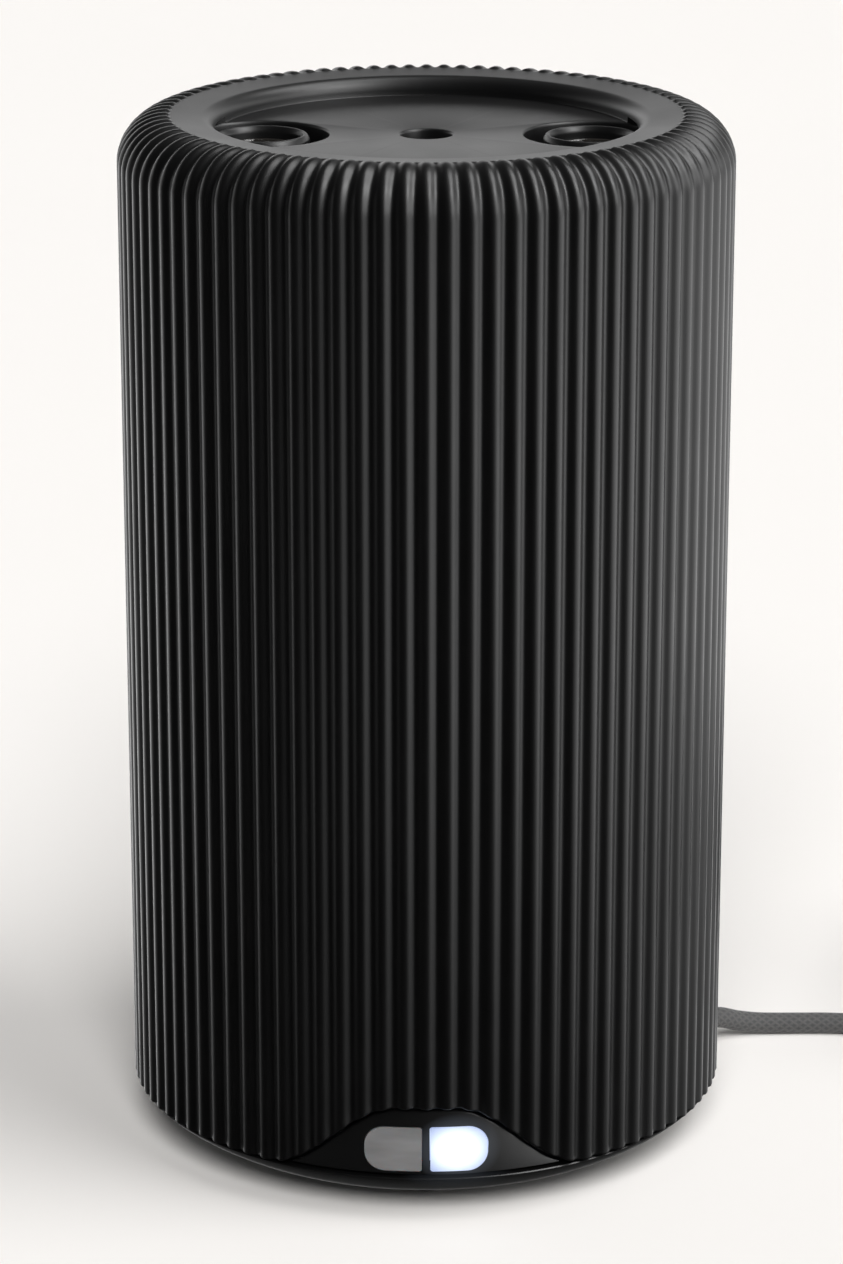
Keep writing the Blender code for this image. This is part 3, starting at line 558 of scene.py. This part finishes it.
# ---------------------------------------------------------------- lead


def smooth_route(route, steps):
    """Catmull-Rom points through the route, the ends included."""
    route = [Vector(p) for p in route]
    ends = [2 * route[0] - route[1]] + route + [2 * route[-1] - route[-2]]
    points = []
    for a, b, c, d in zip(ends, ends[1:], ends[2:], ends[3:]):
        for i in range(steps):
            t = i / steps
            bend = (2 * a - 5 * b + 4 * c - d) * t**2 + (3 * b - a - 3 * c + d) * t**3
            points.append(0.5 * ((2 * b) + (c - a) * t + bend))
    return points + [route[-1]]


def lane_place(lane):
    """(column, layer) of a lane: columns run inwards on even layers and outwards on odd ones."""
    layer, step = divmod(lane, COIL_COLUMNS)
    column = COIL_COLUMNS - 1 - step if layer % 2 == 0 else step
    return Vector((column, layer))


def coil_point(turns):
    """A point on the coil after so many turns from where the lead joins it."""
    last = COIL_COLUMNS * COIL_LAYERS - 1
    lane = min(last, int(turns / LANE_TURNS))
    place = lane_place(lane)
    into = turns - lane * LANE_TURNS - (LANE_TURNS - SHIFT_TURNS)
    if into > 0 and lane < last:
        t = min(1.0, into / SHIFT_TURNS)
        place = place.lerp(lane_place(lane + 1), t * t * (3 - 2 * t))
    radius = COIL_MEAN_R + (place.x - (COIL_COLUMNS - 1) / 2) * CORD_D
    angle = FRONT + FULL * turns
    height = COIL_LIFT + (place.y + 0.5) * CORD_D
    return Vector((*COIL_CENTRE, height)) + radius * Vector((math.cos(angle), math.sin(angle), 0))


def cord_route():
    """From the boot, settling to the floor and off to the right, in mm."""
    z = CORD_FLOOR_Z / MM
    exit_x, exit_y, _ = polar(BOOT_END_R / MM + 0.3, EXIT_DEGREES)
    return [
        (exit_x, exit_y, BOOT_Z / MM), (52.6, 28.2, 4.2), (55.9, 29.8, 2.9), (60.0, 30.8, 2.1), (66.0, 31.2, z),
        (72.0, 31.2, z), (79.0, 30.4, z), (88.0, 27.6, z), (98.0, 23.5, z), (106.0, 20.6, z), (114.0, 18.7, z),
    ]  # fmt: skip


def cord_line():
    """The whole lead's centreline: the visible run, the coil and the tail to the adapter."""
    run = smooth_route(in_mm(cord_route()) + [coil_point(0)], 5)
    per_turn = 72
    count = round(COIL_TURNS * per_turn)
    turns = [coil_point(COIL_TURNS * i / count) for i in range(1, count + 1)]
    top = turns[-1]
    boot_low, boot_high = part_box("adapter_boot")
    end = Vector(((boot_low.x + boot_high.x) / 2, boot_low.y - 0.3 * MM, (boot_low.z + boot_high.z) / 2))
    bend = [(0, 0, 0), (0, -8, 0), (0, -16, 0), (0.3, -22, 1.6), (2.2, -31, 5.6), (7.2, -38.6, 10.2)]
    route = [top + Vector(p) for p in in_mm(bend)]
    route += [(top.x + 15 * MM, top.y - 42.4 * MM, end.z - 0.6 * MM), (top.x + 22.4 * MM, top.y - 40.6 * MM, end.z)]
    route += [(end.x, end.y - 4.2 * MM, end.z), end]
    return run + turns + smooth_route(route, 5)[1:]


def cord_mesh(points, diameter, sides=16):
    """A round tube along the points, with a UV map that runs along it in braid pitches."""
    bm = bmesh.new()
    uv = bm.loops.layers.uv.new("along")
    normal = Vector((0, 0, 1))
    rings, lengths, travelled = [], [], 0.0
    for i, point in enumerate(points):
        tangent = (points[min(i + 1, len(points) - 1)] - points[max(i - 1, 0)]).normalized()
        normal = (normal - tangent * normal.dot(tangent)).normalized()
        side = tangent.cross(normal)
        ring = []
        for k in range(sides):
            a = FULL * k / sides
            ring.append(bm.verts.new(point + (normal * math.cos(a) + side * math.sin(a)) * diameter / 2))
        if i:
            travelled += (point - points[i - 1]).length
        rings.append(ring)
        lengths.append(travelled / BRAID_PITCH)
    for i in range(len(rings) - 1):
        for k in range(sides):
            after = (k + 1) % sides
            face = bm.faces.new((rings[i][k], rings[i][after], rings[i + 1][after], rings[i + 1][k]))
            face.smooth = True
            spots = ((lengths[i], k), (lengths[i], k + 1), (lengths[i + 1], k + 1), (lengths[i + 1], k))
            for loop, (u, v) in zip(face.loops, spots):
                loop[uv].uv = (u, v / sides)
    bm.faces.new(rings[0][::-1])
    bm.faces.new(rings[-1])
    mesh = bpy.data.meshes.new("lead")
    bm.to_mesh(mesh)
    bm.free()
    mesh.materials.append(FINISHES["braid"])
    obj = bpy.data.objects.new("lead", mesh)
    bpy.context.scene.collection.objects.link(obj)
    return obj, travelled


def band_loop(low_r, high_r, low_z, high_z, corner):
    """A rectangle with round corners, as points of (radius, height)."""
    loop = arc((high_r - corner, low_z + corner), corner, -90, 0, 5)
    loop += arc((high_r - corner, high_z - corner), corner, 0, 90, 5)
    loop += arc((low_r + corner, high_z - corner), corner, 90, 180, 5)
    return loop + arc((low_r + corner, low_z + corner), corner, 180, 270, 5)


def make_tie():
    """A soft strap round the coil's turns."""
    half = COIL_COLUMNS * CORD_D / 2 + 0.2 * MM
    low_r, high_r = COIL_MEAN_R - half, COIL_MEAN_R + half
    high_z = COIL_LIFT + COIL_LAYERS * CORD_D + 0.1 * MM
    wide, thick = 9.0 * MM, 0.6 * MM
    inner = band_loop(low_r, high_r, 0.08 * MM, high_z, 1.6 * MM)
    outer = band_loop(low_r - thick, high_r + thick, 0.02 * MM, high_z + thick, 2.0 * MM)
    bm = bmesh.new()
    rows = [
        [[bm.verts.new((r, y, z)) for r, z in loop] for loop in (inner, outer)]
        for y in (-wide / 2, wide / 2)
    ]  # fmt: skip
    for k in range(len(inner)):
        n = (k + 1) % len(inner)
        for side in (0, 1):
            bm.faces.new((rows[0][side][k], rows[0][side][n], rows[1][side][n], rows[1][side][k]))
        for row in rows:
            bm.faces.new((row[0][k], row[0][n], row[1][n], row[1][k]))
    return add_object("coil_tie", bm, FINISHES["rubber"], (*COIL_CENTRE, 0))


def make_cord():
    points = cord_line()
    lead, length = cord_mesh(points, CORD_D)
    stand_in(lead, "cord", "cord_coil", "cord_tail")
    tie = make_tie()
    boots = [make_exit_boot(), make_plug_boot()]
    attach(tie, "base")


# ---------------------------------------------------------------- cover


def hill(angle):
    """How far the front opening rises above the cover's lower edge at an angle."""
    turn = (angle - FRONT + math.pi) % FULL - math.pi
    t = min(1.0, max(0.0, (HILL_HALF - abs(turn) * COVER_R) / (HILL_HALF - HILL_FLAT)))
    return HILL_HIGH * t * t * (3 - 2 * t)


def make_cover():
    """The ribbed shell. Ribs run up the wall, over the shoulder, and end round at the ring."""
    centre = Vector((COVER_R - SHOULDER_R, COVER_TOP - SHOULDER_R))
    inner_r = COVER_INNER_R - centre.x
    roll = centre.x - NOSE_R
    bm = bmesh.new()
    columns = []
    for i in range(RIB_COUNT * RIB_STEPS):
        angle = FRONT + FULL * i / (RIB_COUNT * RIB_STEPS)
        groove = ((1 - math.cos(FULL * i / RIB_STEPS)) / 2) ** RIB_SHARE
        depth = RIB_DEPTH * groove
        low = COVER_LOW + hill(angle)
        wall = COVER_R - depth
        column = [(COVER_INNER_R, low + 0.3 * MM), (COVER_INNER_R + 0.3 * MM, low)]
        column += [(wall - 0.45 * MM, low), (wall - 0.13 * MM, low + 0.13 * MM), (wall, low + 0.45 * MM)]
        for k in range(SHOULDER_STEPS + 1):
            t = k / SHOULDER_STEPS
            share = 1 - (1 - RIB_TOP_SHARE) * t * t
            reach = SHOULDER_R - depth * share
            a = math.pi / 2 * t
            column.append((centre.x + reach * math.cos(a), centre.y + reach * math.sin(a)))
        rim = RING_TOP + RING_RISE
        crest = column[-1][1] - rim
        for k in range(1, ROLL_STEPS + 1):
            t = k / ROLL_STEPS
            column.append((centre.x - roll * t, rim + crest * (1 - t * t * (3 - 2 * t))))
        column.append((NOSE_R, centre.y + inner_r))
        column += [(centre.x + inner_r * math.cos(a), centre.y + inner_r * math.sin(a)) for a in (1.2, 0.6, 0.0)]
        columns.append([bm.verts.new((r * math.cos(angle), r * math.sin(angle), z)) for r, z in column])
    count = len(columns[0])
    for here, there in zip(columns, columns[1:] + columns[:1]):
        for k in range(count):
            up = (k + 1) % count
            bm.faces.new((here[k], there[k], there[up], here[up]))
    stand_in(add_object("ribbed_cover", bm, FINISHES["cover"], sharp=60.0), "outer_cover")


def make_dish():
    """The dished ring, its well, and the plate with two ports and a hole."""
    ring_r = NOSE_R - 0.01 * MM
    flange_top = 169.7 * MM
    outline = [(0, PLATE_UNDER), (WELL_R + 1.4 * MM, PLATE_UNDER), (ring_r + 1.6 * MM, PLATE_UNDER + 0.4 * MM)]
    outline += [(ring_r + 1.6 * MM, flange_top), (ring_r, flange_top), (ring_r, RING_TOP + RING_RISE)]
    outline += arc((WELL_R + 0.5 * MM, RING_TOP - 2.3 * MM), 2.3 * MM, 90, 180, 14)
    wall = WELL_R - 1.8 * MM
    outline += arc((wall - 0.15 * MM, PLATE_TOP + 0.15 * MM), 0.15 * MM, 0, -90, 3)
    outline += [(wall - 1.5 * MM, PLATE_TOP), (0, PLATE_TOP)]
    dish = turned("dished_top", outline, FINISHES["dish"], around=AROUND)
    lip_r, collar_top, above, below = 0.45 * MM, 168.1 * MM, 170.4 * MM, 160 * MM
    collars, cutters = [], []
    for x, radius, thick, collar_low in (
        (-PORT_X, PORT_R, 1.3 * MM, 166.2 * MM),
        (PORT_X, PORT_R, 1.3 * MM, 166.2 * MM),
        (0, CENTRE_HOLE_R, 1.2 * MM, 164.0 * MM),
    ):
        within, outer = radius - 1 * MM, radius + thick
        collar = [(within, collar_low), (outer, collar_low), (outer, collar_top), (within, collar_top)]
        collars.append(turned("collar", collar, None, (x, 0, 0)))
        hole = [(0, below), (radius, below), (radius, PLATE_TOP - lip_r)]
        hole += arc((radius + lip_r, PLATE_TOP - lip_r), lip_r, 180, 90, 4)
        hole += [(radius + lip_r, above), (0, above)]
        cutters.append(turned("hole", hole, None, (x, 0, 0)))
    boolean(dish, collars, "UNION")
    boolean(dish, cutters)
    stand_in(dish, "top_dish")


# ---------------------------------------------------------------- base, panel and keys


def make_base():
    """The tapered tray, with bosses, sunk screws and feet, air slots and the boot's notch."""
    floor_top = BASE_LOW + 2.2 * MM
    outline = [(0, BASE_LOW)]
    for i in range(BASE_STEPS):
        a = math.pi / 2 * (1 - i / BASE_STEPS)
        share_r, share_z = math.cos(a) ** (2 / BASE_BULGE), math.sin(a) ** (2 / BASE_BULGE)
        r = BASE_FOOT_R + (BASE_RIM_R - BASE_FOOT_R) * share_r
        outline.append((r, BASE_TOP - (BASE_TOP - BASE_LOW) * share_z))
    outline += [(BASE_RIM_R, BASE_TOP - 0.15 * MM), (BASE_RIM_R - 0.15 * MM, BASE_TOP)]
    outline += [(BASE_RIM_R - 2 * MM, BASE_TOP), (46.0 * MM, 6.3 * MM), (39.3 * MM, floor_top), (0, floor_top)]
    tray = turned("tapered_base", outline, FINISHES["base"], around=AROUND)
    boss_low = floor_top / MM - 0.5
    boolean(tray, [cylinder(5, boss_low, boss_low + 3.1, place, 40) for place in SCREW_PLACES], "UNION")
    cutters = []
    for place in SCREW_PLACES:
        cutters += [cylinder(3.1, 0.2, 4.4, place, 40), cylinder(1.8, 4.0, 8.0, place, 40)]
    cutters += [cylinder(5.6, 0.2, 1.9, place, 56) for place in FOOT_PLACES]
    for i in range(AIR_SLOTS):
        slot = block("slot", *in_mm([(11, -1.4, 0), (25.5, 1.4, 5)]))
        slot.rotation_euler.z = FULL * i / AIR_SLOTS
        cutters.append(slot)
    notch_r, above = 3.0 * MM, BASE_TOP + 1 * MM
    outline = [(-notch_r, above), *arc((0, BOOT_Z), notch_r, 180, 360, 16), (notch_r, above)]
    notch = prism("notch", outline, 38.7 * MM, 52 * MM, None)
    notch.rotation_euler.z = math.radians(EXIT_DEGREES - 90)
    boolean(tray, cutters + [notch])
    stand_in(tray, "base_tray")


def button_outline(side, grow, steps=14):
    """One half of the split pill in the XZ plane, larger all round by grow."""
    inner = BUTTON_SPLIT / 2 - grow
    outer = BUTTON_SPLIT / 2 + BUTTON_WIDE + grow
    high = BUTTON_HIGH / 2 + grow
    corner = BUTTON_CORNER + grow
    small = BUTTON_SPLIT_CORNER
    points = arc((inner + small, -high + small), small, 180, 270, 5)
    points += arc((outer - corner, -high + corner), corner, -90, 0, steps)
    points += arc((outer - corner, high - corner), corner, 0, 90, steps)
    points += arc((inner + small, high - small), small, 90, 180, 5)
    return [(SIDES[side] * x, BUTTON_Z + z) for x, z in points]


def make_panel():
    """The curved panel in the opening, with a softened edge all round its face."""
    bm = bmesh.new()
    columns = []
    half_angle = (HILL_HALF - 3.8 * MM) / COVER_R
    for i in range(-PANEL_HALF_STEPS, PANEL_HALF_STEPS + 1):
        angle = FRONT + half_angle * i / PANEL_HALF_STEPS
        high = COVER_LOW + hill(angle) - PANEL_GAP
        soft = min(0.5 * MM, (high - COVER_LOW) * 0.4)
        column = [(PANEL_INNER_R, COVER_LOW), (PANEL_R - 0.2 * MM, COVER_LOW), (PANEL_R, COVER_LOW + 0.2 * MM)]
        for back, down in ((0, 1), (0.15, 0.5), (0.5, 0.15), (1, 0)):
            column.append((PANEL_R - back * soft, high - down * soft))
        column.append((PANEL_INNER_R, high))
        columns.append([bm.verts.new((r * math.cos(angle), r * math.sin(angle), z)) for r, z in column])
    count = len(columns[0])
    for here, there in zip(columns, columns[1:]):
        for k in range(count):
            up = (k + 1) % count
            bm.faces.new((here[k], there[k], there[up], here[up]))
    bm.faces.new(columns[0])
    bm.faces.new(columns[-1])
    panel = add_object("control_panel", bm, FINISHES["panel"])
    windows = [prism("window", button_outline(side, 0.12 * MM), -52 * MM, -40 * MM, None) for side in SIDES]
    boolean(panel, windows)
    stand_in(panel, "front_panel")


def make_keys():
    """The two halves of the split pill, with the panel's curve on their faces and a flange behind."""
    face_r = (PANEL_R + 0.15 * MM) / MM
    for side, finish in (("left", "key_dim"), ("right", "key_lit")):
        key = prism(f"key_{side}", button_outline(side, 0), -52 * MM, -43.4 * MM, FINISHES[finish])
        boolean(key, [cylinder(face_r, 5, 22, around=720)], "INTERSECT")
        sign = SIDES[side]
        x_low, x_high = sorted((sign * 0.45 * MM, sign * (BUTTON_SPLIT / 2 + BUTTON_WIDE + 0.3 * MM)))
        low = (x_low, -43.9 * MM, BUTTON_Z - BUTTON_HIGH / 2 - 0.1 * MM)
        high = (x_high, -42.6 * MM, BUTTON_Z + BUTTON_HIGH / 2 + 0.2 * MM)
        boolean(key, [block("flange", low, high)], "UNION")
        soften(key, 0.22 * MM, 3)
        stand_in(key, f"button_{side}")


# ---------------------------------------------------------------- inside


def make_inside():
    """Smooth versions of the turned pieces that show when the cover is off."""
    glass = [(0, 110), (9.2, 110), (10.2, 111), (10.2, 159), (9.0, 161.8), (6, 164), (6, 167.6), (5, 167.6)]
    glass += [(5, 163.2), (7.9, 161), (9.1, 158.5), (9.1, 111.8), (0, 111.4)]
    collar = [(6.3, 164.9), (7.8, 164.9), (7.8, 168.6), (7.3, 169.4), (6.8, 169.4), (6.3, 168.6)]
    bay = [(17.4, 36.1), (19, 36.1), (19, 37.9), (16, 43.1), (16, 165.5), (14.4, 165.5), (14.4, 43.1), (17.4, 37.9)]
    warmer = [(0, 106.5), (8.6, 106.5), (8.6, 109.6), (0, 109.6)]
    seat = in_mm([(5.5, 103), (9.6, 103), (9.6, 106.2), (5.5, 106.2)])
    seat_bar, guide_bar = ((8.8, -0.9, 103.2), (15.2, 0.9, 106.0)), ((10.6, -0.7, 112.0), (15.2, 0.7, 154.0))
    for side, sign in SIDES.items():
        place = (sign * PORT_X, 0, 0)

        def smooth(name, outline, corner, finish):
            return turned(f"{name}_{side}", rounded(in_mm(outline), corner * MM), FINISHES[finish], place)

        stand_in(smooth("glass", glass, 0.5, "glass"), f"vial_{side}")
        stand_in(smooth("ring", collar, 0.3, "dish"), f"vial_collar_{side}")
        parts = [turned("seat", seat, None, place)] + spokes(place, 90, seat_bar, guide_bar)
        stand_in(boolean(smooth("duct", bay, 0.4, "frame"), parts, "UNION"), f"bay_{side}")
        stand_in(smooth("hot_plate", warmer, 0.4, "steel"), f"warmer_{side}")


BLADES = 7


def blade():
    """One fan blade: a thin section twisted from the hub out to the tip."""
    bm = bmesh.new()
    steps, across_steps = 8, 8
    rings = []
    for i in range(steps + 1):
        t = i / steps
        pitch = math.radians(48 - 20 * t)
        chord = (7.0 + 2.2 * t) * MM
        across = Vector((0, math.cos(pitch), math.sin(pitch)))
        normal = Vector((0, -math.sin(pitch), math.cos(pitch)))
        centre = Vector(((8.0 + 8.8 * t) * MM, 0, 30.8 * MM))
        ring = []
        for k in range(2 * across_steps):
            a = math.pi * k / across_steps
            offset = across * (chord / 2 * math.cos(a)) + normal * (0.5 * MM * math.sin(a))
            ring.append(bm.verts.new(centre + offset))
        rings.append(ring)
    for here, there in zip(rings, rings[1:]):
        for k in range(len(here)):
            after = (k + 1) % len(here)
            bm.faces.new((here[k], there[k], there[after], here[after]))
    bm.faces.new(rings[0])
    bm.faces.new(rings[-1])
    return add_object("blade", bm, None)


def make_fans():
    """Each side's fan: ring and hub, bladed rotor, bush and copper."""
    for side, sign in SIDES.items():
        place = (sign * PORT_X, 0, 0)
        tube = rounded(in_mm([(17.6, 23.8), (19, 23.8), (19, 35.8), (17.6, 35.8)]), 0.4 * MM)
        frame_ring = turned(f"fan_ring_{side}", tube, FINISHES["frame"], place)
        hub = [(0, 23.8), (7.4, 23.8), (7.4, 25.4), (3.1, 25.4), (3.1, 32.6), (2.3, 32.6), (2.3, 25.2), (0, 25.2)]
        parts = [turned("hub", in_mm(hub), None, place)] + spokes(place, 30, ((2.8, -0.9, 23.8), (18.2, 0.9, 25.4)))
        stand_in(boolean(frame_ring, parts, "UNION"), f"fan_frame_{side}")
        cup = [(0, 33.4), (7.2, 33.4), (7.2, 27.0), (8.4, 27.0), (8.4, 34.8), (0, 34.8)]
        rotor = turned(f"rotor_{side}", rounded(in_mm(cup), 0.5 * MM), FINISHES["rotor"], place)
        parts = [cylinder(1, 25.5, 34, place, 32)]
        for i in range(BLADES):
            piece = blade()
            piece.rotation_euler.z = FULL * i / BLADES
            piece.location = place
            parts.append(piece)
        stand_in(boolean(rotor, parts, "UNION"), f"fan_rotor_{side}")
        for name, outline, finish in (
            ("fan_bush", [(1.08, 25.6), (2, 25.6), (2, 32.2), (1.08, 32.2)], "bronze"),
            ("fan_coil", [(3.4, 26.2), (6.6, 26.2), (6.6, 31.6), (3.4, 31.6)], "copper"),
        ):
            shape = rounded(in_mm(outline), 0.3 * MM)
            stand_in(turned(f"round_{name}_{side}", shape, FINISHES[finish], place), f"{name}_{side}")


def make_deck():
    """The chassis plate, with its skirt, screw bosses, board posts and openings."""
    outline = [(0, 21.5), (44.2, 21.5), (44.2, 8.2), (45.6, 8.2), (45.6, 21.5), (46.6, 21.5)]
    outline += [(46.6, 23.2), (46.3, 23.5), (0, 23.5)]
    deck = turned("deck_plate", in_mm(outline), FINISHES["frame"], around=AROUND)
    joined = [cylinder(3.5, 6.3, 22.5, place) for place in SCREW_PLACES]
    for sign in SIDES.values():
        x_low, x_high = sorted((sign * 15, sign * 21))
        joined.append(block("post", *in_mm([(x_low, 20, 22.5), (x_high, 24, 49)])))
    boolean(deck, joined, "UNION")
    cutters = [cylinder(1.7, 5, 16, place, 32) for place in SCREW_PLACES]
    cutters += [cylinder(17, 20, 25, (sign * PORT_X, 0, 0)) for sign in SIDES.values()]
    cutters.append(block("window", *in_mm([(-13.5, -50, 5), (13.5, -30, 20.2)])))
    cutters.append(block("cable_way", *in_mm([(-5, 26, 20), (5, 31, 25)])))
    stand_in(boolean(deck, cutters), "deck")


def make_foot_pieces():
    """Rubber feet and countersunk screws."""
    pad = rounded(in_mm([(0, 0), (5, 0), (5, 1.6), (0, 1.6)]), 0.4 * MM)
    for i, place in enumerate(FOOT_PLACES, 1):
        stand_in(turned(f"pad_{i}", pad, FINISHES["rubber"], place), f"foot_{i}")
    head = in_mm([(0, 2.4), (2.5, 2.4), (2.8, 2.7), (2.8, 4.1), (1.4, 4.1), (1.4, 14), (0, 15)])
    for i, place in enumerate(SCREW_PLACES, 1):
        screw = turned(f"screw_{i}", head, FINISHES["steel"], place, 40)
        bars = [block("bar", *in_mm([(-w, -d, 2), (w, d, 3.2)])) for w, d in ((1.5, 0.35), (0.35, 1.5))]
        for bar in bars:
            bar.location = place
        stand_in(boolean(screw, bars), f"base_screw_{i}")


def make_exit_boot():
    """The ridged boot where the lead leaves the base."""
    outline = [(0, 36.2), (3.8, 36.2), (3.8, 38.3), (2.7, 38.3), (2.7, 47.2)]
    for i in range(6):
        y, r = 47.8 + 1.3 * i, 2.66 - 0.05 * i
        outline += [(r, y), (r, y + 0.5), (r - 0.3, y + 0.7), (r - 0.3, y + 1.1)]
    outline += [(2.3, 55.7), (2.1, 56.0), (0, 56.0)]
    boot = turned("ridged_boot", in_mm(outline), FINISHES["rubber"], around=64)
    boot.rotation_euler = (-math.pi / 2, 0, math.radians(EXIT_DEGREES - 90))
    boot.location.z = BOOT_Z
    under = block("under", *in_mm([(-6, 35, -3), (6, 39, 3.7)]))
    under.rotation_euler.z = math.radians(EXIT_DEGREES - 90)
    return stand_in(boolean(boot, [under]), "cord_boot")


def make_plug_boot():
    """The ridged boot where the lead goes into the adapter."""
    low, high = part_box("adapter_boot")
    place = ((low.x + high.x) / 2, high.y, (low.z + high.z) / 2)
    outline = [(0, 0), (3.4, 0), (3.4, 1.6)]
    for i in range(5):
        y, r = 2.1 + 1.6 * i, 3.25 - 0.17 * i
        outline += [(r, y), (r, y + 0.8), (r - 0.35, y + 1.0), (r - 0.35, y + 1.4)]
    outline += [(2.35, 10.4), (2.1, 10.7), (0, 10.7)]
    boot = turned("plug_boot", in_mm(outline), FINISHES["rubber"], place, 64)
    boot.rotation_euler.x = math.pi / 2
    return stand_in(boot, "adapter_boot")


def dress_nodes():
    """Every CAD node that still shows gets its finish."""
    for name, node in nodes.items():
        node.data.materials.clear()
        node.data.materials.append(FINISHES[slot_of[name]])
    for name, width in (("adapter", 1.4), ("blade_left", 0.3), ("blade_right", 0.3)):
        soften(nodes[name], width * MM, 4)
    for name in ("main_board", "panel_board", "switch_left", "switch_right", "lamp_left", "lamp_right"):
        soften(nodes[name], 0.15 * MM)
    soften(nodes["sensor_mast"], 0.5 * MM, 3)


# ---------------------------------------------------------------- stage


def lamp(kind, name, place, power, spread):
    """A soft lamp aimed at the object: suns light the paper, and an area lamp is for gloss.

    Spread is a sun's angle, or an area lamp's side.
    """
    data = bpy.data.lights.new(name, kind)
    data.energy = power
    if kind == "SUN":
        data.angle = math.radians(spread)
    else:
        data.shape = "SQUARE"
        data.size = spread
    light = bpy.data.objects.new(name, data)
    light.location = place
    light.rotation_euler = (Vector((0, 0, 0.09)) - Vector(place)).to_track_quat("-Z", "Y").to_euler()
    light.visible_glossy = kind == "AREA"
    light.visible_diffuse = kind == "SUN"
    bpy.context.scene.collection.objects.link(light)


WORLD_BRIGHT = Vector((0.45, 0.89, 0.0)).normalized()  # the bright side is behind, and to the right
STRIP = Vector((0.92, -0.39, 0.0)).normalized()  # a tall soft strip at the right
FLOOR_LOW = (0.86, 0.835, 0.81)
FLOOR_HIGH = (0.88, 0.855, 0.83)


def make_floor():
    """Pale paper. Gloss doesn't mirror it, because the studio round the body is dark in front."""
    bm = bmesh.new()
    bmesh.ops.create_grid(bm, x_segments=1, y_segments=1, size=6.0)
    made, tree, shader = new_material("floor_paper")
    tree.links.new(tint(tree, object_noise(tree, 3.0), FLOOR_LOW, FLOOR_HIGH), shader.inputs["Base Color"])
    shader.inputs["Roughness"].default_value = 0.9
    floor = add_object("floor", bm, made)
    floor.visible_glossy = False


def levels(tree, source, *stops):
    """A curve of grey levels along a 0 to 1 value."""
    curve = tree.nodes.new("ShaderNodeValToRGB")
    elements = curve.color_ramp.elements
    for at, level in stops:
        stop = elements[0] if at == 0 else elements[-1] if at == 1 else elements.new(at)
        stop.color = (level, level, level, 1)
    tree.links.new(source, curve.inputs["Fac"])
    return curve.outputs["Color"]


def make_world():
    """A studio that is dark at the front left and bright behind, in world directions."""
    world = bpy.data.worlds.new("world")
    world.use_nodes = True
    tree = world.node_tree
    coords = tree.nodes.new("ShaderNodeTexCoord")

    def facing(direction):
        node = tree.nodes.new("ShaderNodeVectorMath")
        node.operation = "DOT_PRODUCT"
        node.inputs[1].default_value = direction
        tree.links.new(coords.outputs["Generated"], node.inputs[0])
        return ramp(tree, node.outputs["Value"], 0.0, 1.0, -1.0, 1.0)

    def mixed(kind, first, second):
        node = tree.nodes.new("ShaderNodeMix")
        node.data_type = "RGBA"
        node.blend_type = kind
        node.inputs["Factor"].default_value = 1.0
        node.clamp_result = False
        tree.links.new(first, node.inputs["A"])
        tree.links.new(second, node.inputs["B"])
        return node.outputs["Result"]

    round_about = levels(
        tree, facing(WORLD_BRIGHT), (0, 0.006), (0.1, 0.01), (0.18, 0.02), (0.32, 0.28),
        (0.53, 0.72), (0.75, 0.95), (0.9, 0.8), (1, 0.6),
    )  # fmt: skip
    strip = levels(tree, facing(STRIP), (0, 0), (0.8, 0), (0.93, 0.12), (0.985, 0.25), (1, 0.28))
    height = levels(
        tree, facing((0, 0, 1)), (0, 0.01), (0.22, 0.03), (0.27, 0.55), (0.31, 1), (0.36, 0.9),
        (0.44, 0.75), (0.47, 0.3), (0.53, 0.3), (0.57, 0.78), (0.62, 0.7), (0.67, 0.12), (0.72, 0.03), (1, 0.03),
    )  # fmt: skip
    background = tree.nodes["Background"]
    tree.links.new(mixed("MULTIPLY", mixed("ADD", round_about, strip), height), background.inputs["Color"])
    background.inputs["Strength"].default_value = 3.2
    bpy.context.scene.world = world


def make_stage():
    make_floor()
    make_world()
    lamp("SUN", "key", (2.0, -0.85, 2.7), 1.8, 42.0)
    lamp("SUN", "fill", (0.05, -2.2, 2.1), 2.5, 26.0)
    lamp("AREA", "top", (1.5, 0.55, 3.0), 62.0, 2.0)
    lamp("AREA", "side", (2.35, -1.6, 1.35), 46.0, 2.1)
    lamp("AREA", "shoulder", (1.9, -1.05, 2.5), 46.0, 1.2)
    bpy.context.scene.view_settings.view_transform = "Standard"


dress_nodes()
make_camera()
make_cord()
make_cover()
make_dish()
make_base()
make_panel()
make_keys()
make_inside()
make_fans()
make_deck()
make_foot_pieces()
make_stage()
